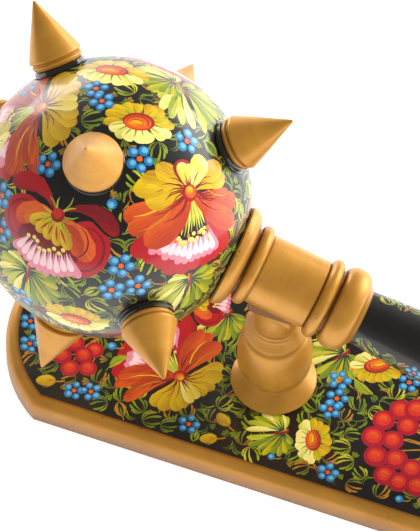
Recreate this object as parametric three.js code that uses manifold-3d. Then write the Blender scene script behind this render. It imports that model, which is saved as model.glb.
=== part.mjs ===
// Ceremonial mace of turned and painted wood, lying in the saddles of its stand.
// Millimetres, +Z up. The origin is the middle of the board's underside, and +X runs
// along the board from the mace's ball towards its butt.

import * as THREE from 'three';
import { mergeVertices } from 'three/addons/utils/BufferGeometryUtils.js';
import Module from 'manifold-3d';

const wasm = await Module();
wasm.setup();

// Fits
const seatGap = 0.3; // between pieces that touch
const saddleClearance = 0.3; // between the mace and a saddle

// Board
const boardLength = 340;
const boardWidth = 90;
const boardThickness = 12.8;
const boardEdgeRound = 5.2; // width and height of the rounded upper edge
const boardEndBulge = 25.4; // how far each end arc stands out past its corners

// Stand posts, placed along the board
const headPostInset = 111.5; // from the board's ball end to the taller post
const postSpacing = 130; // between the axes of the two posts

// Turned outline of a post: heights above the board, and radii
const headPost = {
  footRadius: 17.4, footEdge: 0.6, waistRadius: 10.6, waistHeight: 8.5,
  bulbRadius: 15.1, bulbHeight: 18.5, neckRadius: 11.4, neckHeight: 35.6,
  skirtRadius: 12.7, skirtHeight: 37.8, rimHeight: 38.6, creaseRadius: 8.5, creaseHeight: 45.2,
  knobRadius: 9.1, knobHeight: 50, topRadius: 8.9, topHeight: 60.5,
  blockHalfWidth: 9.9, blockHalfLength: 8.9, blockHeight: 58.6,
};
const handlePost = {
  footRadius: 15.5, footEdge: 0.6, waistRadius: 9.6, waistHeight: 3.8,
  bulbRadius: 12.8, bulbHeight: 7.2, neckRadius: 9.8, neckHeight: 12.2,
  skirtRadius: 11.2, skirtHeight: 13.2, rimHeight: 13.7, creaseRadius: 8.5, creaseHeight: 16,
  knobRadius: 9.2, knobHeight: 18.2, topRadius: 9, topHeight: 23.4,
  blockHalfWidth: 10.4, blockHalfLength: 9, blockHeight: 21,
};

// Mace, measured along its axis from the ball's centre towards the butt
const ballRadius = 55;
const maceTilt = THREE.MathUtils.degToRad(15.6); // down towards the butt
const axisHeight = 76.06; // above the board, over the taller post
const postFromBall = 72.4; // where the taller post's axis crosses the mace's

// Gold turnings between the ball and the grip
const flangeRadius = 20.6;
const flangeWidth = 6.4;
const coveRadius = 14;
const innerRingRadius = 16.6;
const innerRingWidth = 5.2;
const barrelStart = 64.1;
const barrelEnd = 88.4;
const barrelRadius = 14.2;
const ringGroove = 0.8; // depth and width of the groove beside a ring
const outerRingRadius = 16.6;
const outerRingWidth = 5.6;
const collarRadius = 17.1;
const collarWidth = 11;
const ringSpacing = 0.9; // cove left between the outer ring and the collar
const gripStart = 108.6;

// Black grip and the butt
const gripStartRadius = 11.1;
const gripCrest = 215; // place of the grip's fullest part
const gripCrestRadius = 15.4;
const gripEnd = 253;
const gripEndRadius = 13.2;
const buttRingRadius = 15.2;
const buttRingWidth = 5;
const buttNeckRadius = 11.6;
const buttKnobRadius = 15.8;
const buttKnobWidth = 17;
const buttEndRadius = 5; // small turned flat on the end
const maceEnd = buttRingWidth + ringSpacing + buttKnobWidth + gripEnd;

// Spikes, measured along their own axis from the ball's centre
const spikeTip = 82.6;
const spikeTipRadius = 0.7;
const coneBase = 59.2;
const coneRound = 0.9;
const beadWidth = 1.7;
const beadInset = 0.4; // how much slimmer the bead and the neck are than the cone
const grooveWidth = 0.7;
const grooveDepth = 0.8;
const neckStep = 1.5; // height of each of the two black rings
const flankStep = 0.45; // how much wider the ring on the ball is

// Hand-drilled places of the spikes: the angle from the handle's direction, the turn
// about the mace's axis from its top towards -Y, in degrees, and the cone's radius
const spikes = {
  spike_crown_1: { polar: 136.9, turn: -48.6, radius: 10.8 },
  spike_crown_2: { polar: 150.8, turn: -137.1, radius: 10.9 },
  spike_crown_3: { polar: 142, turn: 106, radius: 11 },
  spike_middle_1: { polar: 103.7, turn: 22, radius: 11.7 },
  spike_middle_2: { polar: 85.9, turn: 148.8, radius: 11 },
  spike_middle_3: { polar: 101, turn: -160, radius: 11 },
  spike_middle_4: { polar: 83.9, turn: -100.5, radius: 10.9 },
  spike_handle_1: { polar: 53.6, turn: -27.5, radius: 10.9 },
  spike_handle_2: { polar: 55.4, turn: 83.6, radius: 11.1 },
  spike_handle_3: { polar: 50, turn: -157, radius: 11 },
};

// How finely round shapes are faceted
const ballDetail = 7;
const handleSides = 24;
const postSides = 22;
const spikeSides = 14;
const arcSteps = 3; // facets in a quarter of a turned bead or cove
const gripStep = 12; // length of a facet along the grip
const boardArcStep = THREE.MathUtils.degToRad(7.5);
const edgeSteps = 3;
const channelSides = 36;
const channelSteps = 4; // on each side of the post's axis
const channelReach = 2.4; // half the length of a saddle's cutter, in knob radii

// Finishes
const goldPaint = { color: 0xcc9a4e, roughness: 0.42, metalness: 0.35 };
const blackLacquer = { color: 0x1c1817, roughness: 0.18, metalness: 0 };

function mesh(name, geometry, finish) {
  const piece = new THREE.Mesh(geometry, new THREE.MeshStandardMaterial(finish));
  piece.name = name;
  return piece;
}

// A turned outline is a list of [radius, height] pairs, from the lower end to the upper.
// quarterOut leaves a point square to the axis and arrives along it, quarterIn the reverse.
function quarterOut([r0, h0], [r1, h1], steps = arcSteps) {
  return quarter(steps, (turn) => [
    r0 + (r1 - r0) * Math.sin(turn),
    h0 + (h1 - h0) * (1 - Math.cos(turn)),
  ]);
}

function quarterIn([r0, h0], [r1, h1], steps = arcSteps) {
  return quarter(steps, (turn) => [
    r0 + (r1 - r0) * (1 - Math.cos(turn)),
    h0 + (h1 - h0) * Math.sin(turn),
  ]);
}

function quarter(steps, place) {
  const points = [];
  for (let i = 0; i <= steps; i += 1) points.push(place((i / steps) * (Math.PI / 2)));
  return points;
}

// A bead stands out from its base radius to its crest and comes back
function bead(start, width, base, crest) {
  const middle = start + width / 2;
  return [
    ...quarterOut([base, start], [crest, middle]),
    ...quarterIn([crest, middle], [base, start + width]).slice(1),
  ];
}

// The part of a sphere about the origin from the axis out to a radius
function seat(sphereRadius, edgeRadius, steps = arcSteps) {
  const points = [];
  for (let i = 0; i <= steps; i += 1) {
    const r = (edgeRadius * i) / steps;
    points.push([r, Math.sqrt(sphereRadius ** 2 - r ** 2)]);
  }
  return points;
}

// Turns an outline about the Z axis into one closed piece
function turned(outline, sides) {
  const points = outline.map(([radius, height]) => new THREE.Vector2(radius, height));
  return new THREE.LatheGeometry(points, sides).rotateX(Math.PI / 2);
}

// Moves a geometry that stands along +Z so that it lies along +X
function alongX(geometry) {
  return geometry.rotateY(Math.PI / 2);
}

function toSolid(geometry) {
  const bare = geometry.clone();
  bare.deleteAttribute('normal');
  bare.deleteAttribute('uv');
  const merged = mergeVertices(bare);
  return new wasm.Manifold(new wasm.Mesh({
    numProp: 3,
    vertProperties: new Float32Array(merged.attributes.position.array),
    triVerts: new Uint32Array(merged.index.array),
  }));
}

function toGeometry(solid) {
  const { vertProperties, triVerts } = solid.getMesh();
  const geometry = new THREE.BufferGeometry();
  geometry.setAttribute('position', new THREE.BufferAttribute(vertProperties, 3));
  geometry.setIndex(new THREE.BufferAttribute(triVerts, 1));
  geometry.computeVertexNormals();
  return geometry;
}

// Half the board's outline, inset from its edge: one end arc, counter-clockwise
function boardEnd(inset) {
  const halfWidth = boardWidth / 2;
  const radius = (halfWidth ** 2 + boardEndBulge ** 2) / (2 * boardEndBulge);
  const centre = boardLength / 2 - radius;
  const reach = Math.asin((halfWidth - inset) / (radius - inset));
  const steps = Math.round((2 * Math.asin(halfWidth / radius)) / boardArcStep);
  const points = [];
  for (let i = 0; i <= steps; i += 1) {
    const turn = reach * ((2 * i) / steps - 1);
    points.push([
      centre + (radius - inset) * Math.cos(turn),
      (radius - inset) * Math.sin(turn),
    ]);
  }
  return points;
}

function boardOutline(inset) {
  const end = boardEnd(inset);
  return [...end, ...end.map(([x, y]) => [-x, -y])];
}

// Joins outlines of equal count, from the lowest to the highest, and caps both ends
function loft(levels) {
  const count = levels[0].outline.length;
  const positions = [];
  for (const { outline, height } of levels) {
    for (const [x, y] of outline) positions.push(x, y, height);
  }
  const faces = [];
  for (let level = 1; level < levels.length; level += 1) {
    for (let i = 0; i < count; i += 1) {
      const next = (i + 1) % count;
      const low = (level - 1) * count;
      const high = level * count;
      faces.push(low + i, low + next, high + next);
      faces.push(low + i, high + next, high + i);
    }
  }
  const top = (levels.length - 1) * count;
  for (let i = 1; i < count - 1; i += 1) {
    faces.push(0, i + 1, i);
    faces.push(top, top + i, top + i + 1);
  }
  const geometry = new THREE.BufferGeometry();
  geometry.setAttribute('position', new THREE.Float32BufferAttribute(positions, 3));
  geometry.setIndex(faces);
  geometry.computeVertexNormals();
  return geometry;
}

function makeBoard() {
  const levels = [{ outline: boardOutline(0), height: 0 }];
  for (let i = 0; i <= edgeSteps; i += 1) {
    const turn = (i / edgeSteps) * (Math.PI / 2);
    levels.push({
      outline: boardOutline(boardEdgeRound * (1 - Math.cos(turn))),
      height: boardThickness - boardEdgeRound * (1 - Math.sin(turn)),
    });
  }
  return mesh('board', loft(levels), blackLacquer);
}

// Draws in from a wide edge, like the bell of a trumpet
function flare([r0, h0], [r1, h1], steps = arcSteps) {
  const points = [];
  for (let i = 0; i <= steps; i += 1) {
    const share = i / steps;
    points.push([r1 + (r0 - r1) * (1 - share) ** 1.5, h0 + (h1 - h0) * share]);
  }
  return points;
}

// The post's turned part: its knob draws in to its top height, and runs on inside the block
function postOutline(post, spindleTop) {
  return [
    [0, 0],
    [post.footRadius, 0],
    [post.footRadius, post.footEdge],
    ...flare([post.footRadius, post.footEdge], [post.waistRadius, post.waistHeight]).slice(1),
    ...quarterOut([post.waistRadius, post.waistHeight], [post.bulbRadius, post.bulbHeight]).slice(1),
    ...quarterIn([post.bulbRadius, post.bulbHeight], [post.neckRadius, post.neckHeight]).slice(1),
    [post.skirtRadius, post.skirtHeight],
    [post.skirtRadius, post.rimHeight],
    [post.creaseRadius, post.creaseHeight],
    ...quarterOut([post.creaseRadius, post.creaseHeight], [post.knobRadius, post.knobHeight]).slice(1),
    [post.topRadius, post.topHeight],
    [post.topRadius, spindleTop],
    [0, spindleTop],
  ];
}

// The block on the knob that the saddle is cut in, sawn flat, with its underside along the mace
function saddleBlock(post, top) {
  const height = top - post.blockHeight;
  const block = new THREE.BoxGeometry(post.blockHalfLength * 2, post.blockHalfWidth * 2, height);
  const corners = block.attributes.position;
  for (let i = 0; i < corners.count; i += 1) {
    const drop = corners.getZ(i) < 0 ? corners.getX(i) * Math.tan(maceTilt) : 0;
    corners.setZ(i, post.blockHeight + height / 2 + corners.getZ(i) - drop);
  }
  return toSolid(block);
}

// Where a post's axis meets the mace's, measured along the mace and above the board
function crossing(postX) {
  const run = postX - headPostX;
  return {
    along: postFromBall + run / Math.cos(maceTilt),
    height: axisHeight - run * Math.tan(maceTilt),
  };
}

// The room that the mace takes in a saddle, lying where it crosses the post's axis
function channelAt({ along, height }, reach) {
  const outline = [[0, along - reach]];
  for (let i = -channelSteps; i <= channelSteps; i += 1) {
    const place = along + (reach * i) / channelSteps;
    outline.push([maceRadiusAt(place) + saddleClearance, place]);
  }
  outline.push([0, along + reach]);
  const channel = alongX(turned(outline, channelSides));
  channel.translate(-along, 0, 0);
  channel.rotateY(maceTilt);
  channel.translate(0, 0, height);
  return toSolid(channel);
}

function makePost(name, post, postX) {
  const meeting = crossing(postX);
  const channel = channelAt(meeting, post.knobRadius * channelReach);
  const solid = toSolid(turned(postOutline(post, meeting.height), postSides))
    .add(saddleBlock(post, meeting.height))
    .subtract(channel);
  const piece = mesh(name, toGeometry(solid), goldPaint);
  piece.position.set(postX, 0, boardThickness + seatGap);
  return piece;
}

// The mace's radius in the two places that lie in the saddles: the barrel and the grip
function maceRadiusAt(along) {
  return along < gripStart ? barrelRadius : gripRadius(along);
}

// The grip swells from the collar to its crest and draws in again to the butt
function gripRadius(along) {
  const swelling = along < gripCrest;
  const endPlace = swelling ? gripStart : gripEnd;
  const endRadius = swelling ? gripStartRadius : gripEndRadius;
  const share = Math.min(1, Math.abs((along - gripCrest) / (endPlace - gripCrest)));
  return gripCrestRadius - (gripCrestRadius - endRadius) * share ** 2;
}

function gripOutline() {
  const steps = Math.round((gripEnd - gripStart) / gripStep);
  const points = [];
  for (let i = 0; i <= steps; i += 1) {
    const along = gripStart + ((gripEnd - gripStart) * i) / steps;
    points.push([gripRadius(along), along]);
  }
  return points;
}

function collarOutline() {
  const flangeSeat = seat(ballRadius + seatGap, flangeRadius - ringGroove);
  const flangeStart = flangeSeat.at(-1)[1];
  const innerRingStart = barrelStart - innerRingWidth;
  const outerRingStart = barrelEnd + ringGroove;
  const collarStart = outerRingStart + outerRingWidth + ringSpacing;
  return [
    ...flangeSeat,
    [flangeRadius, flangeStart + ringGroove],
    ...quarterIn([flangeRadius, flangeStart + ringGroove], [coveRadius, flangeStart + flangeWidth]).slice(1),
    ...bead(innerRingStart, innerRingWidth, coveRadius, innerRingRadius),
    [barrelRadius, barrelStart + ringGroove],
    [barrelRadius, barrelEnd],
    ...bead(outerRingStart, outerRingWidth, barrelRadius - ringGroove, outerRingRadius),
    ...bead(collarStart, collarWidth, barrelRadius - ringGroove, collarRadius),
  ];
}

function buttOutline() {
  const knobStart = gripEnd + buttRingWidth + ringSpacing;
  const knobCrest = knobStart + buttKnobWidth / 2;
  return [
    ...bead(gripEnd, buttRingWidth, buttNeckRadius, buttRingRadius),
    ...quarterOut([buttNeckRadius, knobStart], [buttKnobRadius, knobCrest]),
    ...quarterIn([buttKnobRadius, knobCrest], [buttEndRadius, maceEnd], 2 * arcSteps).slice(1),
    [0, maceEnd],
  ];
}

function makeHandle() {
  const outline = [...collarOutline(), ...gripOutline(), ...buttOutline()];
  return mesh('handle', alongX(turned(outline, handleSides)), goldPaint);
}

function makeBall() {
  return mesh('ball', new THREE.IcosahedronGeometry(ballRadius, ballDetail), blackLacquer);
}

function spikeOutline(radius) {
  const slim = radius - beadInset;
  const beadStart = coneBase - grooveWidth - beadWidth;
  const upperNeck = beadStart - grooveWidth;
  const lowerNeck = upperNeck - neckStep;
  return [
    ...seat(ballRadius + seatGap, slim + flankStep, 1),
    [slim + flankStep, lowerNeck],
    [slim, lowerNeck],
    [slim, upperNeck],
    [slim - grooveDepth, upperNeck + grooveWidth / 2],
    [slim, beadStart],
    [slim, beadStart + beadWidth],
    [slim - grooveDepth, beadStart + beadWidth + grooveWidth / 2],
    [radius, coneBase],
    [radius, coneBase + coneRound],
    [spikeTipRadius, spikeTip],
    [0, spikeTip],
  ];
}

function makeSpike(name, { polar, turn, radius }) {
  const piece = mesh(name, turned(spikeOutline(radius), spikeSides), goldPaint);
  const polarAngle = THREE.MathUtils.degToRad(polar);
  const turnAngle = THREE.MathUtils.degToRad(turn);
  const direction = new THREE.Vector3(
    Math.cos(polarAngle),
    -Math.sin(polarAngle) * Math.sin(turnAngle),
    Math.sin(polarAngle) * Math.cos(turnAngle),
  );
  piece.quaternion.setFromUnitVectors(new THREE.Vector3(0, 0, 1), direction);
  return piece;
}

// The mace's group has its origin at the ball's centre and +X along the handle
function makeMace() {
  const mace = new THREE.Group();
  mace.name = 'mace';
  mace.add(makeBall(), makeHandle());
  for (const [name, spike] of Object.entries(spikes)) mace.add(makeSpike(name, spike));
  mace.rotation.y = maceTilt;
  mace.position.set(
    headPostX - postFromBall * Math.cos(maceTilt),
    0,
    boardThickness + seatGap + axisHeight + postFromBall * Math.sin(maceTilt),
  );
  return mace;
}

const headPostX = headPostInset - boardLength / 2;
const handlePostX = headPostX + postSpacing;

const model = new THREE.Group();
model.name = 'ceremonial_mace';
model.add(
  makeBoard(),
  makePost('head_post', headPost, headPostX),
  makePost('handle_post', handlePost, handlePostX),
  makeMace(),
);

export default model;
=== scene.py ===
"""Ceremonial mace on its stand: turned wood in gold paint, and flowers on black lacquer.

Sizes in this file are in millimetres and are turned to metres as a mesh is made.
"""

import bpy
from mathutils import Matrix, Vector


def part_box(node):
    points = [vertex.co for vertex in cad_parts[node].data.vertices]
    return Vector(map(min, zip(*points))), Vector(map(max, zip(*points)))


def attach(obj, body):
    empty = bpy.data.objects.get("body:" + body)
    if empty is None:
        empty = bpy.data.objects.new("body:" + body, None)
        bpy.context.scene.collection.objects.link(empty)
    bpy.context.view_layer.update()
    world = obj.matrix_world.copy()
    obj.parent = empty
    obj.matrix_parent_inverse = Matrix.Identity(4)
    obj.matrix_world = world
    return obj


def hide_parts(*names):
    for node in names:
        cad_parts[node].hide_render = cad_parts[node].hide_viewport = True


bl_info = {
    "name": "Ceremonial Mace",
    "version": (1, 0, 0),
    "blender": (4, 5, 0),
    "location": "3D View > Sidebar > Mace",
    "description": "Dresses a turned and painted mace and its stand",
    "category": "Add Mesh",
}

import math
import random

import bpy
import numpy as np
from bpy.props import FloatProperty, FloatVectorProperty, IntProperty, PointerProperty
from bpy.types import Operator, Panel, PropertyGroup
from mathutils import Matrix, Vector
from mathutils.geometry import delaunay_2d_cdt

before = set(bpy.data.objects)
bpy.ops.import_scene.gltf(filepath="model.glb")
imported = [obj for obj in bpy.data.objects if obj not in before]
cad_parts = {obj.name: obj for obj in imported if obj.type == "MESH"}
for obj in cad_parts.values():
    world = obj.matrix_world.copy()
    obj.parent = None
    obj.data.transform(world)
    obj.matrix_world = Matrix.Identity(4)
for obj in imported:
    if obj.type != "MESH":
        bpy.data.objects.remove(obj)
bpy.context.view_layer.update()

MM = 0.001
BODY = "root"

# Sizes of the wooden pieces, as in the part's source
BALL_RADIUS = 55.0
MACE_TILT = math.radians(15.6)
SEAT_GAP = 0.3
SADDLE_CLEARANCE = 0.5
SADDLE_REACH = 2.4  # half the length of a saddle's cutter, in radii of the post's knob

BOARD = {"length": 340.0, "width": 90.0, "thickness": 12.8, "edge": 5.2, "bulge": 25.4}

HEAD_POST = {
    "foot": (17.4, 0.6), "waist": (10.6, 8.5), "bulb": (15.1, 18.5), "neck": (11.4, 35.6),
    "skirt": (12.7, 37.8), "rim": 38.6, "lines": ((10.4, 42.2), (9.7, 43.6)),
    "crease": (8.5, 45.2), "knob": (9.1, 50.0), "top": (8.9, 60.5), "block": (8.9, 9.9, 58.6),
    "axis": 76.06, "along": 72.4,
}
HANDLE_POST = {
    "foot": (15.5, 0.6), "waist": (9.6, 3.8), "bulb": (12.8, 7.2), "neck": (9.8, 12.2),
    "skirt": (11.2, 13.2), "rim": 13.7, "lines": ((9.7, 15.1),),
    "crease": (8.5, 16.0), "knob": (9.2, 18.2), "top": (9.0, 23.4), "block": (9.0, 10.4, 21.0),
    "axis": 39.76, "along": 207.37,
}

FLANGE = {"radius": 20.6, "width": 6.4, "cove": 14.0}
INNER_RING = {"radius": 16.6, "width": 5.2}
BARREL = {"start": 64.1, "end": 88.4, "radius": 14.2}
OUTER_RING = {"radius": 16.6, "width": 5.6}
COLLAR = {"radius": 17.1, "width": 11.0}
RING_GROOVE = 0.8
RING_SPACING = 0.9
GRIP = {"start": 108.6, "start_radius": 11.1, "crest": 215.0, "crest_radius": 15.4,
        "end": 253.0, "end_radius": 13.2}
BUTT = {"ring_radius": 15.2, "ring_width": 5.0, "neck": 11.6, "knob_radius": 15.8,
        "knob_width": 17.0, "end_radius": 5.0}

SPIKE = {"tip": 82.6, "tip_radius": 0.7, "cone": 59.2, "round": 0.9, "bead": 1.7,
         "inset": 0.4, "groove_width": 0.7, "groove_depth": 0.8, "neck_step": 1.5, "flank": 0.45}

# Angle from the handle's direction, turn about the mace's axis from its top towards -Y,
# in degrees, and the cone's radius
SPIKES = {
    "crown_1": (136.9, -48.6, 10.8),
    "crown_2": (150.8, -137.1, 10.9),
    "crown_3": (142.0, 106.0, 11.0),
    "middle_1": (103.7, 22.0, 11.7),
    "middle_2": (85.9, 148.8, 11.0),
    "middle_3": (101.0, -160.0, 11.0),
    "middle_4": (83.9, -100.5, 10.9),
    "handle_1": (53.6, -27.5, 10.9),
    "handle_2": (55.4, 83.6, 11.1),
    "handle_3": (50.0, -157.0, 11.0),
}


def linear(code):
    """The linear colour of an sRGB hex code."""
    parts = [int(code[i:i + 2], 16) / 255 for i in (1, 3, 5)]
    return tuple(p / 12.92 if p <= 0.04045 else ((p + 0.055) / 1.055) ** 2.4 for p in parts)


def colour_property(label, code, about):
    return FloatVectorProperty(
        name=label, description=about, subtype="COLOR", size=3, min=0.0, max=1.0,
        default=linear(code))


class MacePalette(PropertyGroup):
    """Colours of the paints"""

    gold: colour_property("Gold", "#D09438", "Bronze paint on the turned wood")
    # Gold shade: the bronze paint's darker tone, also painted as shade in grooves, in corners and
    # on the board edge's lower part
    gold_shade: colour_property("Gold shade", "#6E3E0C", "Bronze paint pooled in a groove")
    lacquer: colour_property("Lacquer", "#120E0D", "Black ground under the flowers")
    yellow: colour_property("Yellow", "#DDB70C", "Petals, buds and stamens")
    amber: colour_property("Amber", "#B28208", "Shaded side of the yellow petals")
    cream: colour_property("Cream", "#EDDD7E", "Pale petals of the daisies")
    orange: colour_property("Orange", "#DC5C18", "Petals and centres")
    rust: colour_property("Rust", "#AB330F", "Shaded side of the orange petals")
    red: colour_property("Red", "#AD0811", "Petals and berries")
    vermilion: colour_property("Vermilion", "#CE2A18", "Lights on the red berries")
    crimson: colour_property("Crimson", "#A30E26", "Rims of the red berries")
    maroon: colour_property("Maroon", "#720913", "Throats and outlines")
    pink: colour_property("Pink", "#DB7F90", "Outer scallops")
    blush: colour_property("Blush", "#EDC6C8", "Inner scallops")
    blue: colour_property("Blue", "#1B6FA3", "Rims of the blue berries")
    sky: colour_property("Sky", "#68B2D0", "Lights on the blue berries")
    green: colour_property("Green", "#83930A", "Leaves and curls")
    olive: colour_property("Olive", "#66761A", "Shaded side of the leaves, and dim curls")
    lime: colour_property("Lime", "#BDB72C", "Light strokes of the leaves")
    pine: colour_property("Pine", "#16402A", "Veins of the leaves")
    ochre: colour_property("Ochre", "#B87A1C", "Stems and curls")


class MaceSettings(PropertyGroup):
    """Sizes that set how finely the pieces are made"""

    grid: FloatProperty(
        name="Grid", description="Spacing of the mesh under the painting on a curved surface",
        default=0.0026, min=0.001, max=0.01, subtype="DISTANCE", unit="LENGTH")
    voxel: FloatProperty(
        name="Post voxel", description="Mesh size of the sawn and turned posts",
        default=0.0004, min=0.0002, max=0.002, subtype="DISTANCE", unit="LENGTH")
    sides: IntProperty(
        name="Sides", description="Facets around a turned piece", default=96, min=24, max=256)
    fillers: IntProperty(
        name="Sprig tries", description="How often a small sprig is tried in a free place",
        default=16000, min=0, max=40000)


def palette_of(context):
    paints = context.scene.mace_palette
    names = MacePalette.__annotations__
    return {name: np.array(tuple(getattr(paints, name))) for name in names}


def add(tree, kind, sockets=None, **settings):
    """Adds a node. Each socket is given a value, or another node's output to link to."""
    made = tree.nodes.new(kind)
    for name, value in settings.items():
        setattr(made, name, value)
    for name, value in (sockets or {}).items():
        if isinstance(value, bpy.types.NodeSocket):
            tree.links.new(value, made.inputs[name])
        else:
            made.inputs[name].default_value = value
    return made


def new_material(name):
    material = bpy.data.materials.new(name)
    material.use_nodes = True
    material.node_tree.nodes.clear()
    return material, material.node_tree


def finish_material(tree, shader):
    add(tree, "ShaderNodeOutputMaterial", {"Surface": shader.outputs[0]})


def gold_material(palette):
    """Bronze powder in varnish, brushed on turned wood while it spun: a warm satin metal
    sheen, fine rings around the axis, and darker paint in grooves and corners, which is pooled
    paint and painted shade together."""
    material, tree = new_material("bronze_powder_paint")
    place = add(tree, "ShaderNodeAttribute", attribute_name="turning").outputs["Vector"]
    # Brush rings are 0.3 mm apart and are drawn about 0.8 mm apart, so that they show
    ring_place = add(tree, "ShaderNodeMapping", {0: place, "Scale": (55, 55, 1250)})
    rings = add(tree, "ShaderNodeTexNoise", {
        0: ring_place.outputs[0], "Scale": 1.0, "Detail": 3.0})
    clouds = add(tree, "ShaderNodeTexNoise", {0: place, "Scale": 75.0, "Detail": 3.0})
    grit = add(tree, "ShaderNodeTexNoise", {0: place, "Scale": 1900.0, "Detail": 2.0})
    # The groove attribute mixes in the gold's shade colour: painted shade in grooves, corners and
    # on the board's lower edge, with pooled paint in the grooves
    groove = add(tree, "ShaderNodeAttribute", attribute_name="groove")
    tint = add(tree, "ShaderNodeMapRange", {
        0: clouds.outputs[0], "From Min": 0.35, "From Max": 0.68, "To Min": 0.0, "To Max": 0.22})
    light = (*palette["gold"], 1)
    dark = (*palette["gold_shade"], 1)
    cloudy = add(tree, "ShaderNodeMix", {0: tint.outputs[0], 6: light, 7: dark}, data_type="RGBA")
    line = add(tree, "ShaderNodeMapRange", {
        0: rings.outputs[0], "From Min": 0.45, "From Max": 0.75, "To Min": 0.0, "To Max": 0.12})
    lined = add(tree, "ShaderNodeMix", {
        0: line.outputs[0], 6: cloudy.outputs[2], 7: dark}, data_type="RGBA")
    # Painted shade, together with pooled paint, where the groove attribute is high
    pooled = add(tree, "ShaderNodeMix", {
        0: groove.outputs["Fac"], 6: lined.outputs[2], 7: dark}, data_type="RGBA")
    # Bare pits in the paint are 0.4 mm wide
    pits = add(tree, "ShaderNodeTexVoronoi", {0: place, "Scale": 420.0})
    patches = add(tree, "ShaderNodeTexNoise", {0: place, "Scale": 38.0, "Detail": 1.0})
    near_pit = add(tree, "ShaderNodeMapRange", {
        0: pits.outputs["Distance"], "From Min": 0.10, "From Max": 0.22,
        "To Min": 1.0, "To Max": 0.0})
    patch = add(tree, "ShaderNodeMapRange", {
        0: patches.outputs[0], "From Min": 0.56, "From Max": 0.66, "To Min": 0.0, "To Max": 0.75})
    pit = add(tree, "ShaderNodeMath", {0: near_pit.outputs[0], 1: patch.outputs[0]},
              operation="MULTIPLY")
    pitted = add(tree, "ShaderNodeMix", {
        0: pit.outputs[0], 6: pooled.outputs[2], 7: (*linear("#4A2A0E"), 1)}, data_type="RGBA")
    rough = add(tree, "ShaderNodeMapRange", {
        0: grit.outputs[0], "From Min": 0.3, "From Max": 0.7, "To Min": 0.34, "To Max": 0.48})
    ring_bump = add(tree, "ShaderNodeBump", {
        "Height": rings.outputs[0], "Strength": 0.2, "Distance": 0.00004})
    grit_bump = add(tree, "ShaderNodeBump", {
        "Height": grit.outputs[0], "Normal": ring_bump.outputs[0],
        "Strength": 0.2, "Distance": 0.00003})
    # The flakes cover about half of what shows and the varnish between them isn't metal
    shader = add(tree, "ShaderNodeBsdfPrincipled", {
        "Base Color": pitted.outputs[2], "Roughness": rough.outputs[0],
        "Normal": grit_bump.outputs[0], "Metallic": 0.45,
        "Coat Weight": 0.15, "Coat Roughness": 0.2})
    finish_material(tree, shader)
    return material


def lacquer_material(palette):
    """Black alkyd lacquer, brushed on and varnished: deep gloss with fine dust in it."""
    material, tree = new_material("black_alkyd_lacquer")
    place = add(tree, "ShaderNodeTexCoord").outputs["Object"]
    waves = add(tree, "ShaderNodeTexNoise", {0: place, "Scale": 140.0, "Detail": 2.0})
    dust = add(tree, "ShaderNodeTexNoise", {0: place, "Scale": 1500.0, "Detail": 1.0})
    speck = add(tree, "ShaderNodeMapRange", {
        0: dust.outputs[0], "From Min": 0.68, "From Max": 0.80, "To Min": 0.0, "To Max": 0.5})
    ground = add(tree, "ShaderNodeMix", {
        0: speck.outputs[0], 6: (*palette["lacquer"], 1), 7: (*linear("#5A5452"), 1)},
        data_type="RGBA")
    rough = add(tree, "ShaderNodeMapRange", {
        0: waves.outputs[0], "From Min": 0.3, "From Max": 0.7, "To Min": 0.16, "To Max": 0.26})
    bump = add(tree, "ShaderNodeBump", {
        "Height": waves.outputs[0], "Strength": 0.15, "Distance": 0.0001})
    shader = add(tree, "ShaderNodeBsdfPrincipled", {
        "Base Color": ground.outputs[2], "Roughness": rough.outputs[0],
        "Normal": bump.outputs[0], "Coat Weight": 1.0, "Coat Roughness": 0.07})
    finish_material(tree, shader)
    return material


def painting_material():
    """Tempera flowers on black lacquer under clear varnish: opaque colours with the streaks
    of a brush that carries two paints, and one even gloss over flowers and ground."""
    material, tree = new_material("varnished_tempera_on_lacquer")
    place = add(tree, "ShaderNodeTexCoord").outputs["Object"]
    near = add(tree, "ShaderNodeAttribute", attribute_name="near")
    far = add(tree, "ShaderNodeAttribute", attribute_name="far")
    stroke = add(tree, "ShaderNodeAttribute", attribute_name="stroke")
    parts = add(tree, "ShaderNodeSeparateXYZ", {0: stroke.outputs["Vector"]})
    # Bristle streaks are 0.2 mm wide and are drawn about 0.5 mm wide, so that they show
    hair_place = add(tree, "ShaderNodeMapping", {
        0: stroke.outputs["Vector"], "Scale": (0.16, 1.9, 0)})
    hairs = add(tree, "ShaderNodeTexNoise", {
        0: hair_place.outputs[0], "Scale": 1.0, "Detail": 3.0})
    shift = add(tree, "ShaderNodeMapRange", {
        0: hairs.outputs[0], "From Min": 0.25, "From Max": 0.75, "To Min": -0.45, "To Max": 0.45})
    load = add(tree, "ShaderNodeMath", {0: parts.outputs[2], 1: shift.outputs[0]},
               operation="ADD", use_clamp=True)
    mixed = add(tree, "ShaderNodeMix", {
        0: load.outputs[0], 6: near.outputs["Color"], 7: far.outputs["Color"]}, data_type="RGBA")
    thin = add(tree, "ShaderNodeMapRange", {
        0: hairs.outputs[0], "From Min": 0.2, "From Max": 0.8, "To Min": 0.84, "To Max": 1.14})
    body = add(tree, "ShaderNodeVectorMath", {0: mixed.outputs[2], "Scale": thin.outputs[0]},
               operation="SCALE")
    waves = add(tree, "ShaderNodeTexNoise", {0: place, "Scale": 120.0, "Detail": 2.0})
    rough = add(tree, "ShaderNodeMapRange", {
        0: waves.outputs[0], "From Min": 0.3, "From Max": 0.7, "To Min": 0.42, "To Max": 0.52})
    hair_bump = add(tree, "ShaderNodeBump", {
        "Height": hairs.outputs[0], "Strength": 0.25, "Distance": 0.00008})
    shader = add(tree, "ShaderNodeBsdfPrincipled", {
        "Base Color": body.outputs[0], "Roughness": rough.outputs[0],
        "Normal": hair_bump.outputs[0], "Coat Weight": 0.5, "Coat Roughness": 0.12})
    finish_material(tree, shader)
    return material


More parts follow.
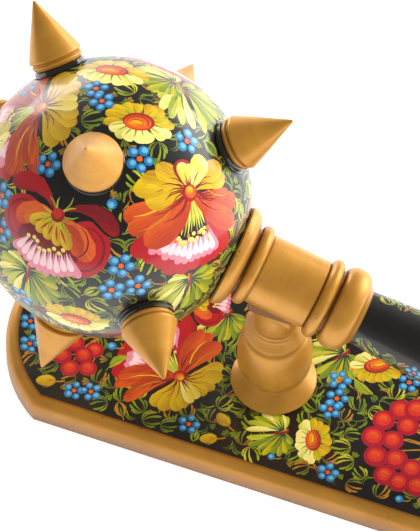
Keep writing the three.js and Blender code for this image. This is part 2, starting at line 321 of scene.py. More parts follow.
def floor_material():
    """Matt white card on a light table: a plain ground with a faint tooth, that glows."""
    material, tree = new_material("matt_white_card")
    place = add(tree, "ShaderNodeTexCoord").outputs["Object"]
    tooth = add(tree, "ShaderNodeTexNoise", {0: place, "Scale": 700.0, "Detail": 2.0})
    shade = add(tree, "ShaderNodeMapRange", {
        0: tooth.outputs[0], "From Min": 0.3, "From Max": 0.7, "To Min": 0.93, "To Max": 0.96})
    shader = add(tree, "ShaderNodeBsdfPrincipled", {
        "Base Color": shade.outputs[0], "Roughness": 0.9,
        "Emission Color": (1, 1, 1, 1), "Emission Strength": 0.6})
    finish_material(tree, shader)
    return material


def material_named(name, make):
    """Each finish is made once and shared."""
    return bpy.data.materials.get(name) or make()


def gold(context):
    return material_named("bronze_powder_paint", lambda: gold_material(palette_of(context)))


def lacquer(context):
    return material_named("black_alkyd_lacquer", lambda: lacquer_material(palette_of(context)))


def painting():
    return material_named("varnished_tempera_on_lacquer", painting_material)


# Turned outlines are lists of (radius, height) pairs from the lower end to the upper


def quarter_out(start, end, steps=8):
    """Leaves square to the axis and arrives along it."""
    (r0, h0), (r1, h1) = start, end
    turns = [math.pi / 2 * i / steps for i in range(steps + 1)]
    return [(r0 + (r1 - r0) * math.sin(t), h0 + (h1 - h0) * (1 - math.cos(t))) for t in turns]


def quarter_in(start, end, steps=8):
    """Leaves along the axis and arrives square to it."""
    (r0, h0), (r1, h1) = start, end
    turns = [math.pi / 2 * i / steps for i in range(steps + 1)]
    return [(r0 + (r1 - r0) * (1 - math.cos(t)), h0 + (h1 - h0) * math.sin(t)) for t in turns]


def bead(start, width, base, crest):
    middle = start + width / 2
    return (quarter_out((base, start), (crest, middle))
            + quarter_in((crest, middle), (base, start + width))[1:])


def seat(sphere, edge, steps=6):
    radii = [edge * i / steps for i in range(steps + 1)]
    return [(r, math.sqrt(sphere ** 2 - r ** 2)) for r in radii]


def dense(outline, spacing=0.8):
    """Adds points along an outline's long straight parts."""
    filled = [outline[0]]
    for (r0, h0), (r1, h1) in zip(outline, outline[1:]):
        steps = max(1, math.ceil(math.dist((r0, h0), (r1, h1)) / spacing))
        filled += [(r0 + (r1 - r0) * i / steps, h0 + (h1 - h0) * i / steps)
                   for i in range(1, steps + 1)]
    return filled


def painted_shade_depths(outline, reach=1.8, full=2.2, corner=0.7):
    """How far the gold is darkened, from 0 to 1: pooled paint and painted shade in grooves
    narrower than twice the reach, and painted shade in the corner beside a step."""
    radii = np.array([r for r, _ in outline])
    heights = np.array([h for _, h in outline])
    within = np.abs(heights[:, None] - heights[None, :]) <= reach
    swollen = np.where(within, radii[None, :], -np.inf).max(axis=1)
    closed = np.where(within, swollen[None, :], np.inf).min(axis=1)
    beside = np.abs(heights[:, None] - heights[None, :]) <= corner
    step = np.where(beside, radii[None, :], -np.inf).max(axis=1) - radii
    return np.clip((closed - radii) / full * 0.55, 0, 0.6) + np.clip(step / full * 0.5, 0, 0.3)


def lathe(outline, sides):
    """Turns an outline about Z. Returns points, faces and each point's painted groove shade."""
    outline = dense(outline)
    points, painted_shades, rings, faces = [], [], [], []
    for (radius, height), depth in zip(outline, painted_shade_depths(outline)):
        count = 1 if radius == 0 else sides
        rings.append(list(range(len(points), len(points) + count)))
        for i in range(count):
            turn = 2 * math.pi * i / sides
            points.append((radius * math.cos(turn), radius * math.sin(turn), height))
            painted_shades.append(depth)
    for low, high in zip(rings, rings[1:]):
        for i in range(sides):
            corners = [low[i % len(low)], low[(i + 1) % len(low)],
                       high[(i + 1) % len(high)], high[i % len(high)]]
            face = list(dict.fromkeys(corners))
            if len(face) > 2:
                faces.append(face)
    return points, faces, painted_shades


def make_mesh(name, points, faces):
    mesh = bpy.data.meshes.new(name)
    mesh.from_pydata([tuple(c * MM for c in p) for p in points], [], faces)
    mesh.validate()
    return mesh


def lay_down(mesh, matrix):
    """Moves a mesh to its place and keeps where its points were on the lathe, because the
    paint's rings follow the lathe's axis."""
    places = np.empty(len(mesh.vertices) * 3, np.float32)
    mesh.vertices.foreach_get("co", places)
    layer = mesh.attributes.new("turning", "FLOAT_VECTOR", "POINT")
    layer.data.foreach_set("vector", places)
    mesh.transform(matrix)


def linked(name, data):
    made = bpy.data.objects.new(name, data)
    bpy.context.scene.collection.objects.link(made)
    return made


def declare(piece, node):
    """Attaches a piece to the body it moves with and hides the CAD node it stands for."""
    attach(piece, BODY)
    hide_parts(node)


# Stores how far the gold is darkened at each point: painted shade, with pooled paint in grooves
def set_painted_shade(mesh, painted_shades):
    layer = mesh.attributes.new("groove", "FLOAT", "POINT")
    layer.data.foreach_set("value", painted_shades)


def smooth(mesh, angle=35):
    mesh.shade_smooth()
    mesh.set_sharp_from_angle(angle=math.radians(angle))


def mace_matrix():
    """The mace's own frame: its origin at the ball's centre and +X along the handle."""
    low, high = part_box("ball")
    return Matrix.Translation((low + high) / 2) @ Matrix.Rotation(MACE_TILT, 4, "Y")


# Outlines of the turned pieces


def flare(start, end, steps=10):
    """Draws in from a wide edge, like the bell of a trumpet."""
    (r0, h0), (r1, h1) = start, end
    shares = [i / steps for i in range(steps + 1)]
    return [(r1 + (r0 - r1) * (1 - s) ** 1.5, h0 + (h1 - h0) * s) for s in shares]


def post_outline(post):
    foot_radius, foot_edge = post["foot"]
    outline = [(0, 0), (foot_radius - 0.2, 0), (foot_radius, 0.2)]
    outline += flare((foot_radius, foot_edge), post["waist"])
    outline += quarter_out(post["waist"], post["bulb"])[1:]
    outline += quarter_in(post["bulb"], post["neck"], 12)[1:]
    skirt, rim = post["skirt"][0], post["rim"]
    outline += [post["skirt"], (skirt, rim - 0.2), (skirt - 0.2, rim)]
    for radius, height in post["lines"]:
        outline += [(radius + 0.15, height - 0.3), (radius - 0.3, height), (radius, height + 0.3)]
    crease, height = post["crease"]
    outline += [(crease + 0.6, height - 0.5), (crease, height)]
    outline += quarter_out(post["crease"], post["knob"])[1:]
    return outline + [post["top"], (0, post["top"][1])]


def grip_radius(along):
    swelling = along < GRIP["crest"]
    end = GRIP["start"] if swelling else GRIP["end"]
    end_radius = GRIP["start_radius"] if swelling else GRIP["end_radius"]
    share = min(1.0, abs((along - GRIP["crest"]) / (end - GRIP["crest"])))
    return GRIP["crest_radius"] - (GRIP["crest_radius"] - end_radius) * share ** 2


def collar_outline():
    start = seat(BALL_RADIUS + SEAT_GAP, FLANGE["radius"] - RING_GROOVE)
    flange = start[-1][1]
    inner = BARREL["start"] - INNER_RING["width"]
    outer = BARREL["end"] + RING_GROOVE
    collar = outer + OUTER_RING["width"] + RING_SPACING
    outline = start + [(FLANGE["radius"], flange + RING_GROOVE)]
    outline += quarter_in((FLANGE["radius"], flange + RING_GROOVE),
                          (FLANGE["cove"], flange + FLANGE["width"]))[1:]
    outline += bead(inner, INNER_RING["width"], FLANGE["cove"], INNER_RING["radius"])
    outline += [(BARREL["radius"], BARREL["start"] + RING_GROOVE),
                (BARREL["radius"], BARREL["end"])]
    base = BARREL["radius"] - RING_GROOVE
    outline += bead(outer, OUTER_RING["width"], base, OUTER_RING["radius"])
    outline += bead(collar, COLLAR["width"], base, COLLAR["radius"])
    return outline + [(GRIP["start_radius"], GRIP["start"])]


def butt_outline():
    start = GRIP["end"]
    knob = start + BUTT["ring_width"] + RING_SPACING
    crest = knob + BUTT["knob_width"] / 2
    end = knob + BUTT["knob_width"]
    outline = [(GRIP["end_radius"], start)]
    outline += bead(start, BUTT["ring_width"], BUTT["neck"], BUTT["ring_radius"])
    outline += quarter_out((BUTT["neck"], knob), (BUTT["knob_radius"], crest))
    outline += quarter_in((BUTT["knob_radius"], crest), (BUTT["end_radius"], end), 16)[1:]
    return outline + [(0, end)]


def spike_outline(radius):
    """The outline, and the height where black lacquer gives way to gold paint."""
    slim = radius - SPIKE["inset"]
    bead_start = SPIKE["cone"] - SPIKE["groove_width"] - SPIKE["bead"]
    upper = bead_start - SPIKE["groove_width"]
    lower = upper - SPIKE["neck_step"]
    cut = SPIKE["groove_depth"]
    half = SPIKE["groove_width"] / 2
    round_off = SPIKE["round"]
    outline = seat(BALL_RADIUS + SEAT_GAP, slim + SPIKE["flank"], 3)
    outline += [(slim + SPIKE["flank"], lower - 0.25), (slim + SPIKE["flank"] - 0.25, lower)]
    outline += [(slim, lower), (slim, upper - 0.2), (slim - cut, upper + half)]
    outline += quarter_out((slim - cut, bead_start), (slim, bead_start + SPIKE["bead"] / 2), 4)
    outline += quarter_in((slim, bead_start + SPIKE["bead"] / 2),
                          (slim - cut, bead_start + SPIKE["bead"]), 4)[1:]
    outline += [(slim - cut, bead_start + SPIKE["bead"] + half)]
    outline += quarter_out((radius - cut, SPIKE["cone"]), (radius, SPIKE["cone"] + round_off), 5)
    steps = 16
    for i in range(1, steps + 1):
        share = i / steps
        bow = 0.25 * math.sin(math.pi * share)
        outline.append((
            radius + (SPIKE["tip_radius"] - radius) * share + bow * (1 - share),
            SPIKE["cone"] + round_off + (SPIKE["tip"] - 0.5 - SPIKE["cone"] - round_off) * share))
    outline += [(SPIKE["tip_radius"] * 0.6, SPIKE["tip"] - 0.12), (0, SPIKE["tip"])]
    return outline, upper + half


# The painting. A canvas is measured in millimetres; the black ground is stroke 0, and each
# later stroke covers the earlier ones.

SHAPES = {
    "petal": ((0, 0.12), (0.2, 0.42), (0.45, 0.8), (0.7, 1.0), (0.86, 0.93), (0.96, 0.6),
              (1, 0.25)),
    "drop": ((0, 0.05), (0.3, 0.34), (0.6, 0.8), (0.8, 1.0), (0.93, 0.78), (1, 0.3)),
    "comma": ((0, 0.3), (0.06, 0.75), (0.2, 1.0), (0.45, 0.72), (0.75, 0.3), (1, 0.06)),
    "leaf": ((0, 0.08), (0.2, 0.62), (0.45, 1.0), (0.72, 0.72), (1, 0.06)),
    "line": ((0, 0.7), (0.3, 1.0), (0.7, 0.8), (1, 0.25)),
    "egg": ((0, 0.35), (0.12, 0.75), (0.35, 1.0), (0.65, 0.95), (0.88, 0.62), (1, 0.2)),
}


def turned_by(angle, points):
    """Turns flat points by an angle in degrees."""
    turn = math.radians(angle)
    matrix = np.array([[math.cos(turn), math.sin(turn)], [-math.sin(turn), math.cos(turn)]])
    return np.asarray(points, float) @ matrix


def spot_on_board(x, y, angle=0, scale=1.0):
    """Lays a figure on a flat canvas."""
    def lay(points):
        flat = turned_by(angle, points) * scale + (x, y)
        return np.column_stack([flat, np.zeros(len(flat))])
    return lay


def ball_direction(polar, turn):
    polar, turn = math.radians(polar), math.radians(turn)
    return np.array([math.cos(polar), -math.sin(polar) * math.sin(turn),
                     math.sin(polar) * math.cos(turn)])


def spot_on_ball(polar, turn, angle=0, scale=1.0):
    """Lays a figure on the ball, along great circles from the figure's middle."""
    middle = ball_direction(polar, turn)
    east = np.array([1.0, 0, 0]) - middle * middle[0]
    east /= np.linalg.norm(east)
    north = np.cross(middle, east)

    def lay(points):
        flat = turned_by(angle, points) * scale
        reach = np.maximum(np.linalg.norm(flat, axis=1), 1e-9)
        heading = (flat[:, :1] * east + flat[:, 1:] * north) / reach[:, None]
        arc = (reach / BALL_RADIUS)[:, None]
        return BALL_RADIUS * (np.cos(arc) * middle + np.sin(arc) * heading)
    return lay


class Brush:
    """Lays strokes in order on one canvas and keeps what the shader needs of each."""

    def __init__(self, palette, round_canvas, seed):
        self.palette = palette
        self.round_canvas = round_canvas
        self.random = random.Random(seed)
        self.lay = None
        ground = palette["lacquer"]
        self.strokes = [{
            "outline": None, "start": np.zeros(3), "along": np.zeros(3), "across": np.zeros(3),
            "slope": np.zeros(3), "level": 0.0, "near": ground, "far": ground}]
        self.middles = np.zeros((0, 3))
        self.reaches = np.zeros(0)

    def stroke(self, outline, start, end, half, near, far, by_side=True):
        """One stroke. Its two paints change over across the brush, or else along the stroke."""
        first, last = self.lay([start, end])
        along = last - first
        length = np.linalg.norm(along)
        along = along / length
        normal = (first + last) if self.round_canvas else np.array([0, 0, 1.0])
        across = np.cross(normal / np.linalg.norm(normal), along)
        scale = np.linalg.norm(last - first) / max(math.dist(start, end), 1e-9)
        slope = across / (2 * half * scale) if by_side else along / length
        self.strokes.append({
            "outline": self.lay(outline), "start": first, "along": along, "across": across,
            "slope": slope, "level": 0.5 if by_side else 0.0,
            "near": self.palette[near], "far": self.palette[far]})

    def dab(self, start, end, width, near, far=None, bend=0.0, shape="petal", by_side=True):
        """A stroke along a bent line, bulging to its left by bend times its length."""
        a, b = np.array(start, float), np.array(end, float)
        side = np.array([a[1] - b[1], b[0] - a[0]])
        knee = (a + b) / 2 + side * bend * 2
        left, right = [], []
        for share, fat in SHAPES[shape]:
            place = (1 - share) ** 2 * a + 2 * share * (1 - share) * knee + share ** 2 * b
            heading = (1 - share) * (knee - a) + share * (b - knee)
            normal = np.array([-heading[1], heading[0]]) / max(np.linalg.norm(heading), 1e-9)
            left.append(place + normal * width * fat / 2)
            right.append(place - normal * width * fat / 2)
        self.stroke(right + left[::-1], start, end, width / 2, near, far or near, by_side)

    def dot(self, x, y, radius, near, far=None, tall=1.0, sides=12):
        """A round or oval touch of the brush."""
        turns = [2 * math.pi * i / sides for i in range(sides)]
        outline = [(x + radius * math.cos(t), y + radius * tall * math.sin(t)) for t in turns]
        self.stroke(outline, (x - radius, y), (x + radius, y), radius * tall, near, far or near)

    def arc(self, x, y, radius, first, last, width, colour, tall=1.0, steps=9):
        """A thin line along an oval, between two angles in degrees."""
        outer, inner = [], []
        for i in range(steps + 1):
            share = i / steps
            turn = math.radians(first + (last - first) * share)
            half = width / 2 * math.sin(math.pi * (0.15 + 0.8 * share))
            for side, line in ((half, outer), (-half, inner)):
                line.append((x + (radius + side) * math.cos(turn),
                             y + (radius + side) * tall * math.sin(turn)))
        outline = outer + inner[::-1]
        if last < first:
            outline = outline[::-1]
        self.stroke(outline, outer[0], outer[-1], radius, colour, colour)

    def take(self, middle, reach):
        """Keeps small sprigs off a round place."""
        self.middles = np.vstack([self.middles, middle])
        self.reaches = np.append(self.reaches, reach)

    def is_free(self, middle, reach):
        return np.all(np.linalg.norm(self.middles - middle, axis=1) > self.reaches + reach)


def spoke(angle, wide, tall=None):
    """The place at an angle in degrees on a circle or an oval around a figure's heart."""
    turn = math.radians(angle)
    return wide * math.cos(turn), (wide if tall is None else tall) * math.sin(turn)


def berry(brush, x=0.0, y=0.0, radius=1.9):
    brush.dot(x, y, radius, "blue")
    brush.dot(x + 0.1 * radius, y + 0.08 * radius, radius * 0.68, "blue", "sky", sides=10)
    brush.dot(x + 0.1 * radius, y + 0.1 * radius, radius * 0.42, "sky", sides=8)


def berry_flower(brush):
    """Five blue berries around an orange heart."""
    for k in range(5):
        place = spoke(90 + 72 * k + brush.random.uniform(-5, 5), 3.45)
        berry(brush, *place, brush.random.uniform(1.75, 2.1))
    brush.dot(0, 0, 1.15, "orange", sides=10)


def lone_berry(brush):
    brush.dab((1.4, -5.4), (0, -1), 0.7, "ochre", bend=0.2, shape="line")
    berry(brush, 0, 0, 2.1)


def red_berry(brush, x, y, radius):
    brush.dot(x, y, radius * 1.04, "crimson", sides=18)
    brush.dot(x - 0.06 * radius, y + 0.06 * radius, radius * 0.68, "vermilion", sides=16)
    brush.dot(x - 0.1 * radius, y + 0.1 * radius, radius * 0.4, "vermilion", "orange", sides=12)


def bunch(brush, top, places):
    """Red berries that hang on thin stems from one point. Each has its place and radius."""
    for x, y, radius in places:
        bend = brush.random.choice((-0.16, -0.1, 0.1, 0.16))
        brush.dab(top, (x, y), 0.6, "ochre", "amber", bend=bend, shape="line")
    for x, y, radius in places:
        red_berry(brush, x, y, radius)


def great_bunch(brush):
    places = ((-7.7, 12.3, 4.5), (-2.8, 19.1, 4.6), (3.2, 21.4, 5.0), (2.2, 13.1, 4.4),
              (-8.8, 3.5, 4.9), (-1.2, 4.8, 4.3), (-5.1, -4.6, 4.8), (2.8, -3.1, 4.6),
              (1.1, -11.6, 4.5), (7.4, -12.7, 4.3), (10.3, -5.2, 4.5), (14.7, -11.9, 4.6),
              (10.4, 19.0, 4.6), (17.6, -4.0, 4.4), (22.0, -10.4, 4.5), (24.0, -1.5, 4.3),
              (16.4, 16.6, 4.4), (21.8, 11.2, 4.3), (27.4, 5.0, 4.3))
    bunch(brush, (17.0, 5.0), places)


def small_bunch(brush):
    places = ((-4.6, 6.6, 3.8), (4.1, 6.3, 3.6), (-7.4, -0.6, 3.8), (0.8, 2.6, 3.7),
              (-2.3, -5.1, 3.8), (4.5, -2.6, 3.6))
    bunch(brush, (3.4, 12.0), places)


def daisy(brush, wide=13.8, tall=9.6):
    """A daisy seen from the side: yellow petals above, cream ones below."""
    count = 16
    for k in range(count):
        angle = 360 * k / count + brush.random.uniform(-4, 4)
        reach = brush.random.uniform(0.9, 1.05)
        x, y = spoke(angle, wide * 0.34, tall * 0.28)
        width = max(2 * math.pi / count * math.hypot(*spoke(angle, tall, wide)), 2.5) * 1.06
        paints = ("cream", "lime") if k % 4 == 2 else ("cream", "cream")
        if -12 < angle % 360 < 192:
            paints = ("yellow", "green") if k % 4 == 1 else ("yellow", "amber")
        brush.dab((x, y + 0.4), spoke(angle, wide * reach, tall * reach), width, *paints,
                  bend=brush.random.uniform(-0.07, 0.07))
    for k in range(count):
        angle = 360 * (k + 0.5) / count
        out = brush.random.uniform(0.58, 0.84)
        brush.dab(spoke(angle, wide * 0.36, tall * 0.34), spoke(angle, wide * out, tall * out),
                  0.5, "olive", "green", shape="line")
    brush.dot(0, 0.3, wide * 0.46, "vermilion", "rust", tall=tall / wide * 0.92, sides=22)
    brush.dot(-0.4, -0.2, wide * 0.38, "orange", "orange", tall=tall / wide * 0.8, sides=20)
    brush.dot(-0.8, -0.7, wide * 0.24, "orange", "yellow", tall=tall / wide * 0.6, sides=16)
    brush.arc(-0.2, 0.2, wide * 0.43, -30, 200, 0.7, "maroon", tall=tall / wide * 0.9, steps=14)
    brush.arc(-0.5, -0.1, wide * 0.31, -30, 190, 0.6, "maroon", tall=tall / wide * 0.85, steps=11)
    brush.arc(-0.9, -0.5, wide * 0.19, -20, 180, 0.5, "rust", tall=tall / wide * 0.85, steps=8)


def broad_petal(brush, tips, width, paints, bend):
    """A petal of a few strokes side by side, one for each tip, and lines at its base."""
    for tip in tips:
        brush.dab((0, 0), tip, width * brush.random.uniform(0.95, 1.08), *paints, bend=bend)
    for x, y in tips:
        for share, side in ((0.62, 0.0), (0.45, 0.09)):
            end = (x * share - y * side, y * share + x * side)
            brush.dab((x * 0.1, y * 0.1), end, 0.6, "maroon", bend=bend * 1.3, shape="line")


def fan_of_drops(brush, count, first, last, inner, outer, width, near, far):
    """Drops side by side from an inner to an outer circle, between two angles in degrees."""
    for k in range(count):
        angle = first + (last - first) * k / (count - 1)
        tip = spoke(angle, outer * brush.random.uniform(0.96, 1.03))
        brush.dab(spoke(angle, inner), tip, width, near, far, shape="drop", by_side=False)


def fringe(brush, first, last, reach):
    """Red scallops, pink ones and pale drops in three rows, with their round ends outwards."""
    count = round((last - first) * reach / 250)
    fan_of_drops(brush, count - 1, first - 8, last + 8, reach * 0.3, reach, reach * 0.27,
                "crimson", "red")
    fan_of_drops(brush, count + 1, first + 1, last - 1, reach * 0.5, reach * 0.86, reach * 0.125,
                "pink", "pink")
    fan_of_drops(brush, count, first + 4, last - 4, reach * 0.55, reach * 0.79, reach * 0.095,
                "blush", "blush")


def stamens(brush, count, first, last, reach):
    """Green threads from the flower's heart, with yellow grains at their ends."""
    for k in range(5):
        tip = spoke(first + 8 + (last - first - 16) * k / 4, reach * 1.05)
        brush.dab((0, 0), tip, reach * 0.32, "lacquer", shape="drop")
    for k in range(count):
        angle = first + (last - first) * k / (count - 1)
        tip = spoke(angle, reach * brush.random.uniform(0.75, 1.02))
        paints = ("green", "lime") if k % 2 else ("lime", "cream")
        brush.dab(spoke(angle, 1.2), tip, 1.15, *paints,
                  bend=0.03 * (k - count / 2) / count, shape="line")
    for k in range(count * 2):
        angle = first - 4 + (last - first + 8) * (k + 0.5) / (count * 2)
        place = spoke(angle, reach * brush.random.uniform(0.84, 1.16))
        paints = ("orange", "orange") if k % 6 == 3 else ("yellow", "cream")
        brush.dot(*place, brush.random.uniform(0.75, 1.2), *paints, sides=9)


def heart(brush):
    brush.dot(-0.4, -0.6, 3.7, "red", "maroon", sides=18)
    brush.dot(0.1, 0.1, 2.8, "orange", "rust", sides=16)
    brush.dot(-0.3, 0.4, 1.7, "orange", "yellow", sides=12)


def fan_flower(brush):
    """A great flower seen from the side: yellow petals above, orange ones at its sides, and
    stamens over a scalloped fringe."""
    fringe(brush, -124, -54, 35)
    stamens(brush, 11, -112, -60, 19)
    broad_petal(brush, ((-29, -9), (-27, -15)), 9.5, ("orange", "rust"), 0.08)
    broad_petal(brush, ((-20, -20),), 12, ("orange", "rust"), 0.14)
    broad_petal(brush, ((27.4, -3.4), (22, -1)), 8.5, ("rust", "orange"), -0.12)
    broad_petal(brush, ((27, -13),), 10, ("rust", "orange"), -0.1)
    brush.dab((9, 0.5), (21.5, -1.2), 0.6, "amber", bend=-0.15, shape="line")
    brush.dab((-10, -4), (-25, -9.5), 0.7, "yellow", bend=0.08, shape="line")
    brush.dab((-9, -7), (-23, -16), 0.6, "amber", bend=0.1, shape="line")
    broad_petal(brush, ((-19, -5.4), (-24.4, 0.4)), 9.5, ("yellow", "amber"), -0.12)
    broad_petal(brush, ((-21, 5.2), (-15, 9.6)), 8, ("amber", "yellow"), -0.1)
    broad_petal(brush, ((19.8, 4.4), (18.4, 9.5)), 8.5, ("yellow", "amber"), 0.1)
    broad_petal(brush, ((9, 13.6),), 9.5, ("cream", "yellow"), 0.06)
    brush.dab((0, 0), (-3.9, 12.9), 8.6, "red", "maroon")
    broad_petal(brush, ((-3.6, 11.8), (0.6, 11.2)), 5.4, ("cream", "yellow"), 0.0)
    heart(brush)


def open_flower(brush):
    """A great flower with orange petals on both sides and yellow ones along its top."""
    fringe(brush, -116, -44, 37)
    stamens(brush, 11, -108, -60, 19)
    broad_petal(brush, ((-29, -15), (-26, -19)), 8.5, ("orange", "rust"), 0.1)
    broad_petal(brush, ((-30, -7),), 9.5, ("orange", "rust"), 0.08)
    broad_petal(brush, ((33, -12), (29, -16)), 8.5, ("rust", "orange"), -0.14)
    broad_petal(brush, ((33.4, -1.5), (28, -4)), 8, ("rust", "orange"), -0.1)
    for side in (-1, 1):
        for start, end, colour, bend in (((10, -2.5), (25, -5), "amber", 0.08),
                                         ((9, -5), (24, -13), "yellow", 0.1)):
            brush.dab((side * start[0], start[1]), (side * end[0], end[1]), 0.7, colour,
                      bend=-bend * side, shape="line")
    broad_petal(brush, ((-24, 3.6), (-21, 9)), 9, ("yellow", "amber"), -0.12)
    broad_petal(brush, ((22.3, 6.6), (20, 12)), 9, ("yellow", "amber"), 0.1)
    broad_petal(brush, ((-13.5, 15), (-8, 16)), 7.5, ("amber", "yellow"), -0.06)
    broad_petal(brush, ((13.4, 17), (8.5, 17.6)), 7.5, ("yellow", "amber"), 0.06)
    broad_petal(brush, ((-2, 16.6), (2.6, 17.4)), 6.2, ("cream", "yellow"), 0.0)
    heart(brush)


def lobe(brush, x, y, radius, tall, first, last):
    """A round red lobe with a darker line inside its edge."""
    brush.dot(x, y, radius, "crimson", tall=tall, sides=30)
    brush.dot(x, y, radius * 0.96, "red", tall=tall, sides=28)
    brush.arc(x, y, radius * 0.76, first, last, 1.0, "maroon", tall=tall, steps=16)


def red_flower(brush):
    """A red flower with two round lobes, orange and yellow inside, over pale drops."""
    brush.dab((-2, 1.5), (-24.5, 1.6), 8.0, "red", "maroon", bend=-0.24)
    lobe(brush, -13.2, -8.6, 10.6, 0.95, 70, 300)
    lobe(brush, 15.0, -8.6, 10.2, 1.22, -130, 120)
    brush.dab((2, 3), (25.2, 1.6), 8.8, "lacquer", bend=0.22)
    brush.dab((2, 3), (24.4, 2.0), 6.8, "red", "maroon", bend=0.24)
    fan_of_drops(brush, 9, -128, -50, 2, 21, 7.0, "maroon", "maroon")
    fan_of_drops(brush, 10, -122, -52, 16, 26.8, 3.9, "pink", "pink")
    fan_of_drops(brush, 9, -120, -56, 15.5, 24.4, 2.9, "blush", "blush")
    brush.dab((-1, -0.5), (-15.2, -10.6), 8.6, "orange", "rust", bend=-0.2)
    brush.dab((-1, -1), (-12.2, -8.6), 5.4, "orange", "amber", bend=-0.14)
    brush.dab((1, -1), (16.4, -13.4), 9.6, "rust", "orange", bend=0.22)
    brush.dab((1, -1), (12.6, -12.4), 6.4, "orange", "rust", bend=0.2)
    brush.arc(8.6, -7.4, 7.2, -60, 80, 0.7, "maroon", steps=10)
    for x, y in ((-9.8, -8.2), (-5.6, -10.2), (-1.0, -11.2), (4.0, -11.8), (8.8, -11.4)):
        brush.dab((x * 0.1, -1), (x, y), 4.8, "yellow", "amber", bend=0.06 * x / 8)
        brush.dab((x * 0.3, y * 0.35), (x * 0.86, y * 0.84), 1.0, "rust", shape="leaf")
    for k in range(9):
        place = spoke(-122 + 62 * k / 8, brush.random.uniform(13.4, 16.8))
        brush.dot(*place, 0.95, "yellow", "cream", sides=8)
    for angle in (172, 140, 108, 72, 44, 20, -6, -30, -62, -100, 205, 232):
        tip = spoke(angle, brush.random.uniform(6.5, 10.5))
        brush.dab(spoke(angle, 1.5), tip, 0.8, "green", "lime",
                  bend=brush.random.choice((-0.14, 0.14)), shape="line")
    brush.dot(0, 0, 2.9, "maroon", "red", sides=14)
    brush.dot(-0.5, 0.4, 2.1, "red", "vermilion", sides=12)


def leaf_reach(angle, length):
    """How far a leaf's edge lies from its node, at an angle from its tip in degrees."""
    return length * (0.52 + 0.48 * math.cos(math.radians(angle) * 0.85))


def leaf(brush, length=20.0):
    """A broad leaf of many strokes that hangs from its node, with dark veins and a red stem."""
    count = 17
    for k in range(count):
        angle = -112 + 224 * k / (count - 1)
        tip = spoke(angle - 90, leaf_reach(angle, length) * brush.random.uniform(0.9, 1.07))
        paints = (("lime", "green"), ("cream", "lime"), ("green", "lime"))[k % 3]
        if angle > 0:
            paints = (("green", "olive"), ("lime", "olive"), ("yellow", "green"))[k % 3]
        brush.dab((0, 0), tip, length * 0.175, *paints, bend=math.copysign(0.06, angle))
    for k in range(12):
        angle = -104 + 208 * k / 11
        tip = spoke(angle - 90, leaf_reach(angle, length) * brush.random.uniform(0.45, 0.7))
        brush.dab((0, 0), tip, 0.75, "pine", bend=math.copysign(0.06, angle), shape="line")
    brush.dab((0.4, 3.2), (0, -length * 0.36), 1.4, "red", "maroon", shape="line")
    brush.dab((-1, 3.4), (-0.4, -1), 0.8, "ochre", shape="line")


def bud(brush):
    """A closed yellow bud in its green cup."""
    for x in (-3.4, -1.8, 1.8, 3.4):
        brush.dab((0, -1), (x, 4.4), 1.1, "green", "ochre", bend=-0.12 * x / 3, shape="comma")
    brush.dab((0, -0.4), (0, 7.2), 5.4, "yellow", "amber", shape="egg")
    brush.dab((0, 0), (-1.3, 3.4), 0.7, "ochre", shape="line")
    brush.dab((0, 0), (0.9, 3), 0.7, "ochre", shape="line")
    brush.dab((0, -5), (0, 0), 0.8, "ochre", bend=0.1, shape="line")


def small_leaf(brush):
    """A small leaf, dark on one side of its vein and light on the other."""
    paints = brush.random.choice((("green", "olive"), ("lime", "green"), ("ochre", "amber")))
    brush.dab((0, -1.5), (0.6, 7.0), 3.6, *paints, bend=0.14, shape="leaf")
    brush.dab((0, -3.4), (0.3, 5), 0.5, "olive", bend=0.1, shape="line")


def comma_fan(brush):
    """Curved touches of the brush that spring from one point, the longest in the middle."""
    side = brush.random.choice((-1, 1))
    paints = brush.random.choice((("green", "olive"), ("green", "lime"), ("olive", "ochre")))
    for x, y, bend in ((-4.2, 0.6, -0.24), (-3.2, 3.4, -0.2), (-0.6, 5.2, -0.12), (2.2, 4.2, 0.16),
                       (3.8, 1.6, 0.22)):
        brush.dab((x * side, y), (0, -3.6), 1.15, *paints, bend=bend * side, shape="comma")


def scroll(brush):
    """A thin stem that curls at its end, with a few commas along it."""
    side = brush.random.choice((-1, 1))
    paints = brush.random.choice((("green", "olive"), ("olive", "green"), ("ochre", "olive")))
    brush.dab((-0.6 * side, -4.6), (2.2 * side, 2.8), 0.55, paints[0],
              bend=0.22 * side, shape="line")
    turns = (200, -60) if side < 0 else (-20, 240)
    brush.arc(0.6 * side, 2.8, 1.9, *turns, 0.75, paints[0], steps=10)
    for x, y, bend in ((-3.6, -0.4, 0.24), (-3.2, 2.4, 0.2), (3.6, -1.6, -0.22)):
        brush.dab((x * side, y), (-0.4 * side, -3.6), 1.0, *paints,
                  bend=-bend * side, shape="comma")


def twin_leaf(brush):
    """A small leaf in two touches that meet at both ends, with a dark heart between them."""
    paints = brush.random.choice((("green", "lime"), ("green", "olive"), ("ochre", "olive")))
    brush.dab((0.3, 4.8), (0, -3.4), 1.8, *paints, bend=-0.24, shape="leaf")
    brush.dab((0.3, 4.8), (0, -3.4), 1.6, *paints[::-1], bend=0.24, shape="leaf")
    brush.dab((0, -2.6), (0.1, 2.2), 1.1, paints[1], shape="leaf")
    brush.dab((0, -5.0), (0, -3), 0.55, "ochre", shape="line")


def hook(brush):
    """Two thin curls side by side."""
    side = brush.random.choice((-1, 1))
    paint = brush.random.choice(("green", "olive", "ochre", "olive"))
    brush.dab((2.8 * side, 2.6), (-2.4 * side, -1.8), 0.8, paint, bend=0.3 * side, shape="comma")
    brush.dab((3.4 * side, -0.2), (-1.8 * side, -2.4), 0.7, paint, bend=0.26 * side, shape="comma")


def leaflets(brush):
    """Three short touches of the brush side by side."""
    paint = brush.random.choice(("green", "olive", "ochre"))
    for x in (-1.6, 0, 1.6):
        brush.dab((x, 2.2 - abs(x) * 0.3), (x * 0.2, -1.5), 1.1, paint, "olive", shape="comma")


# Share of a flower's reach that sprigs stay clear of, as they run under its petals
UNDER_FLOWER = 0.72

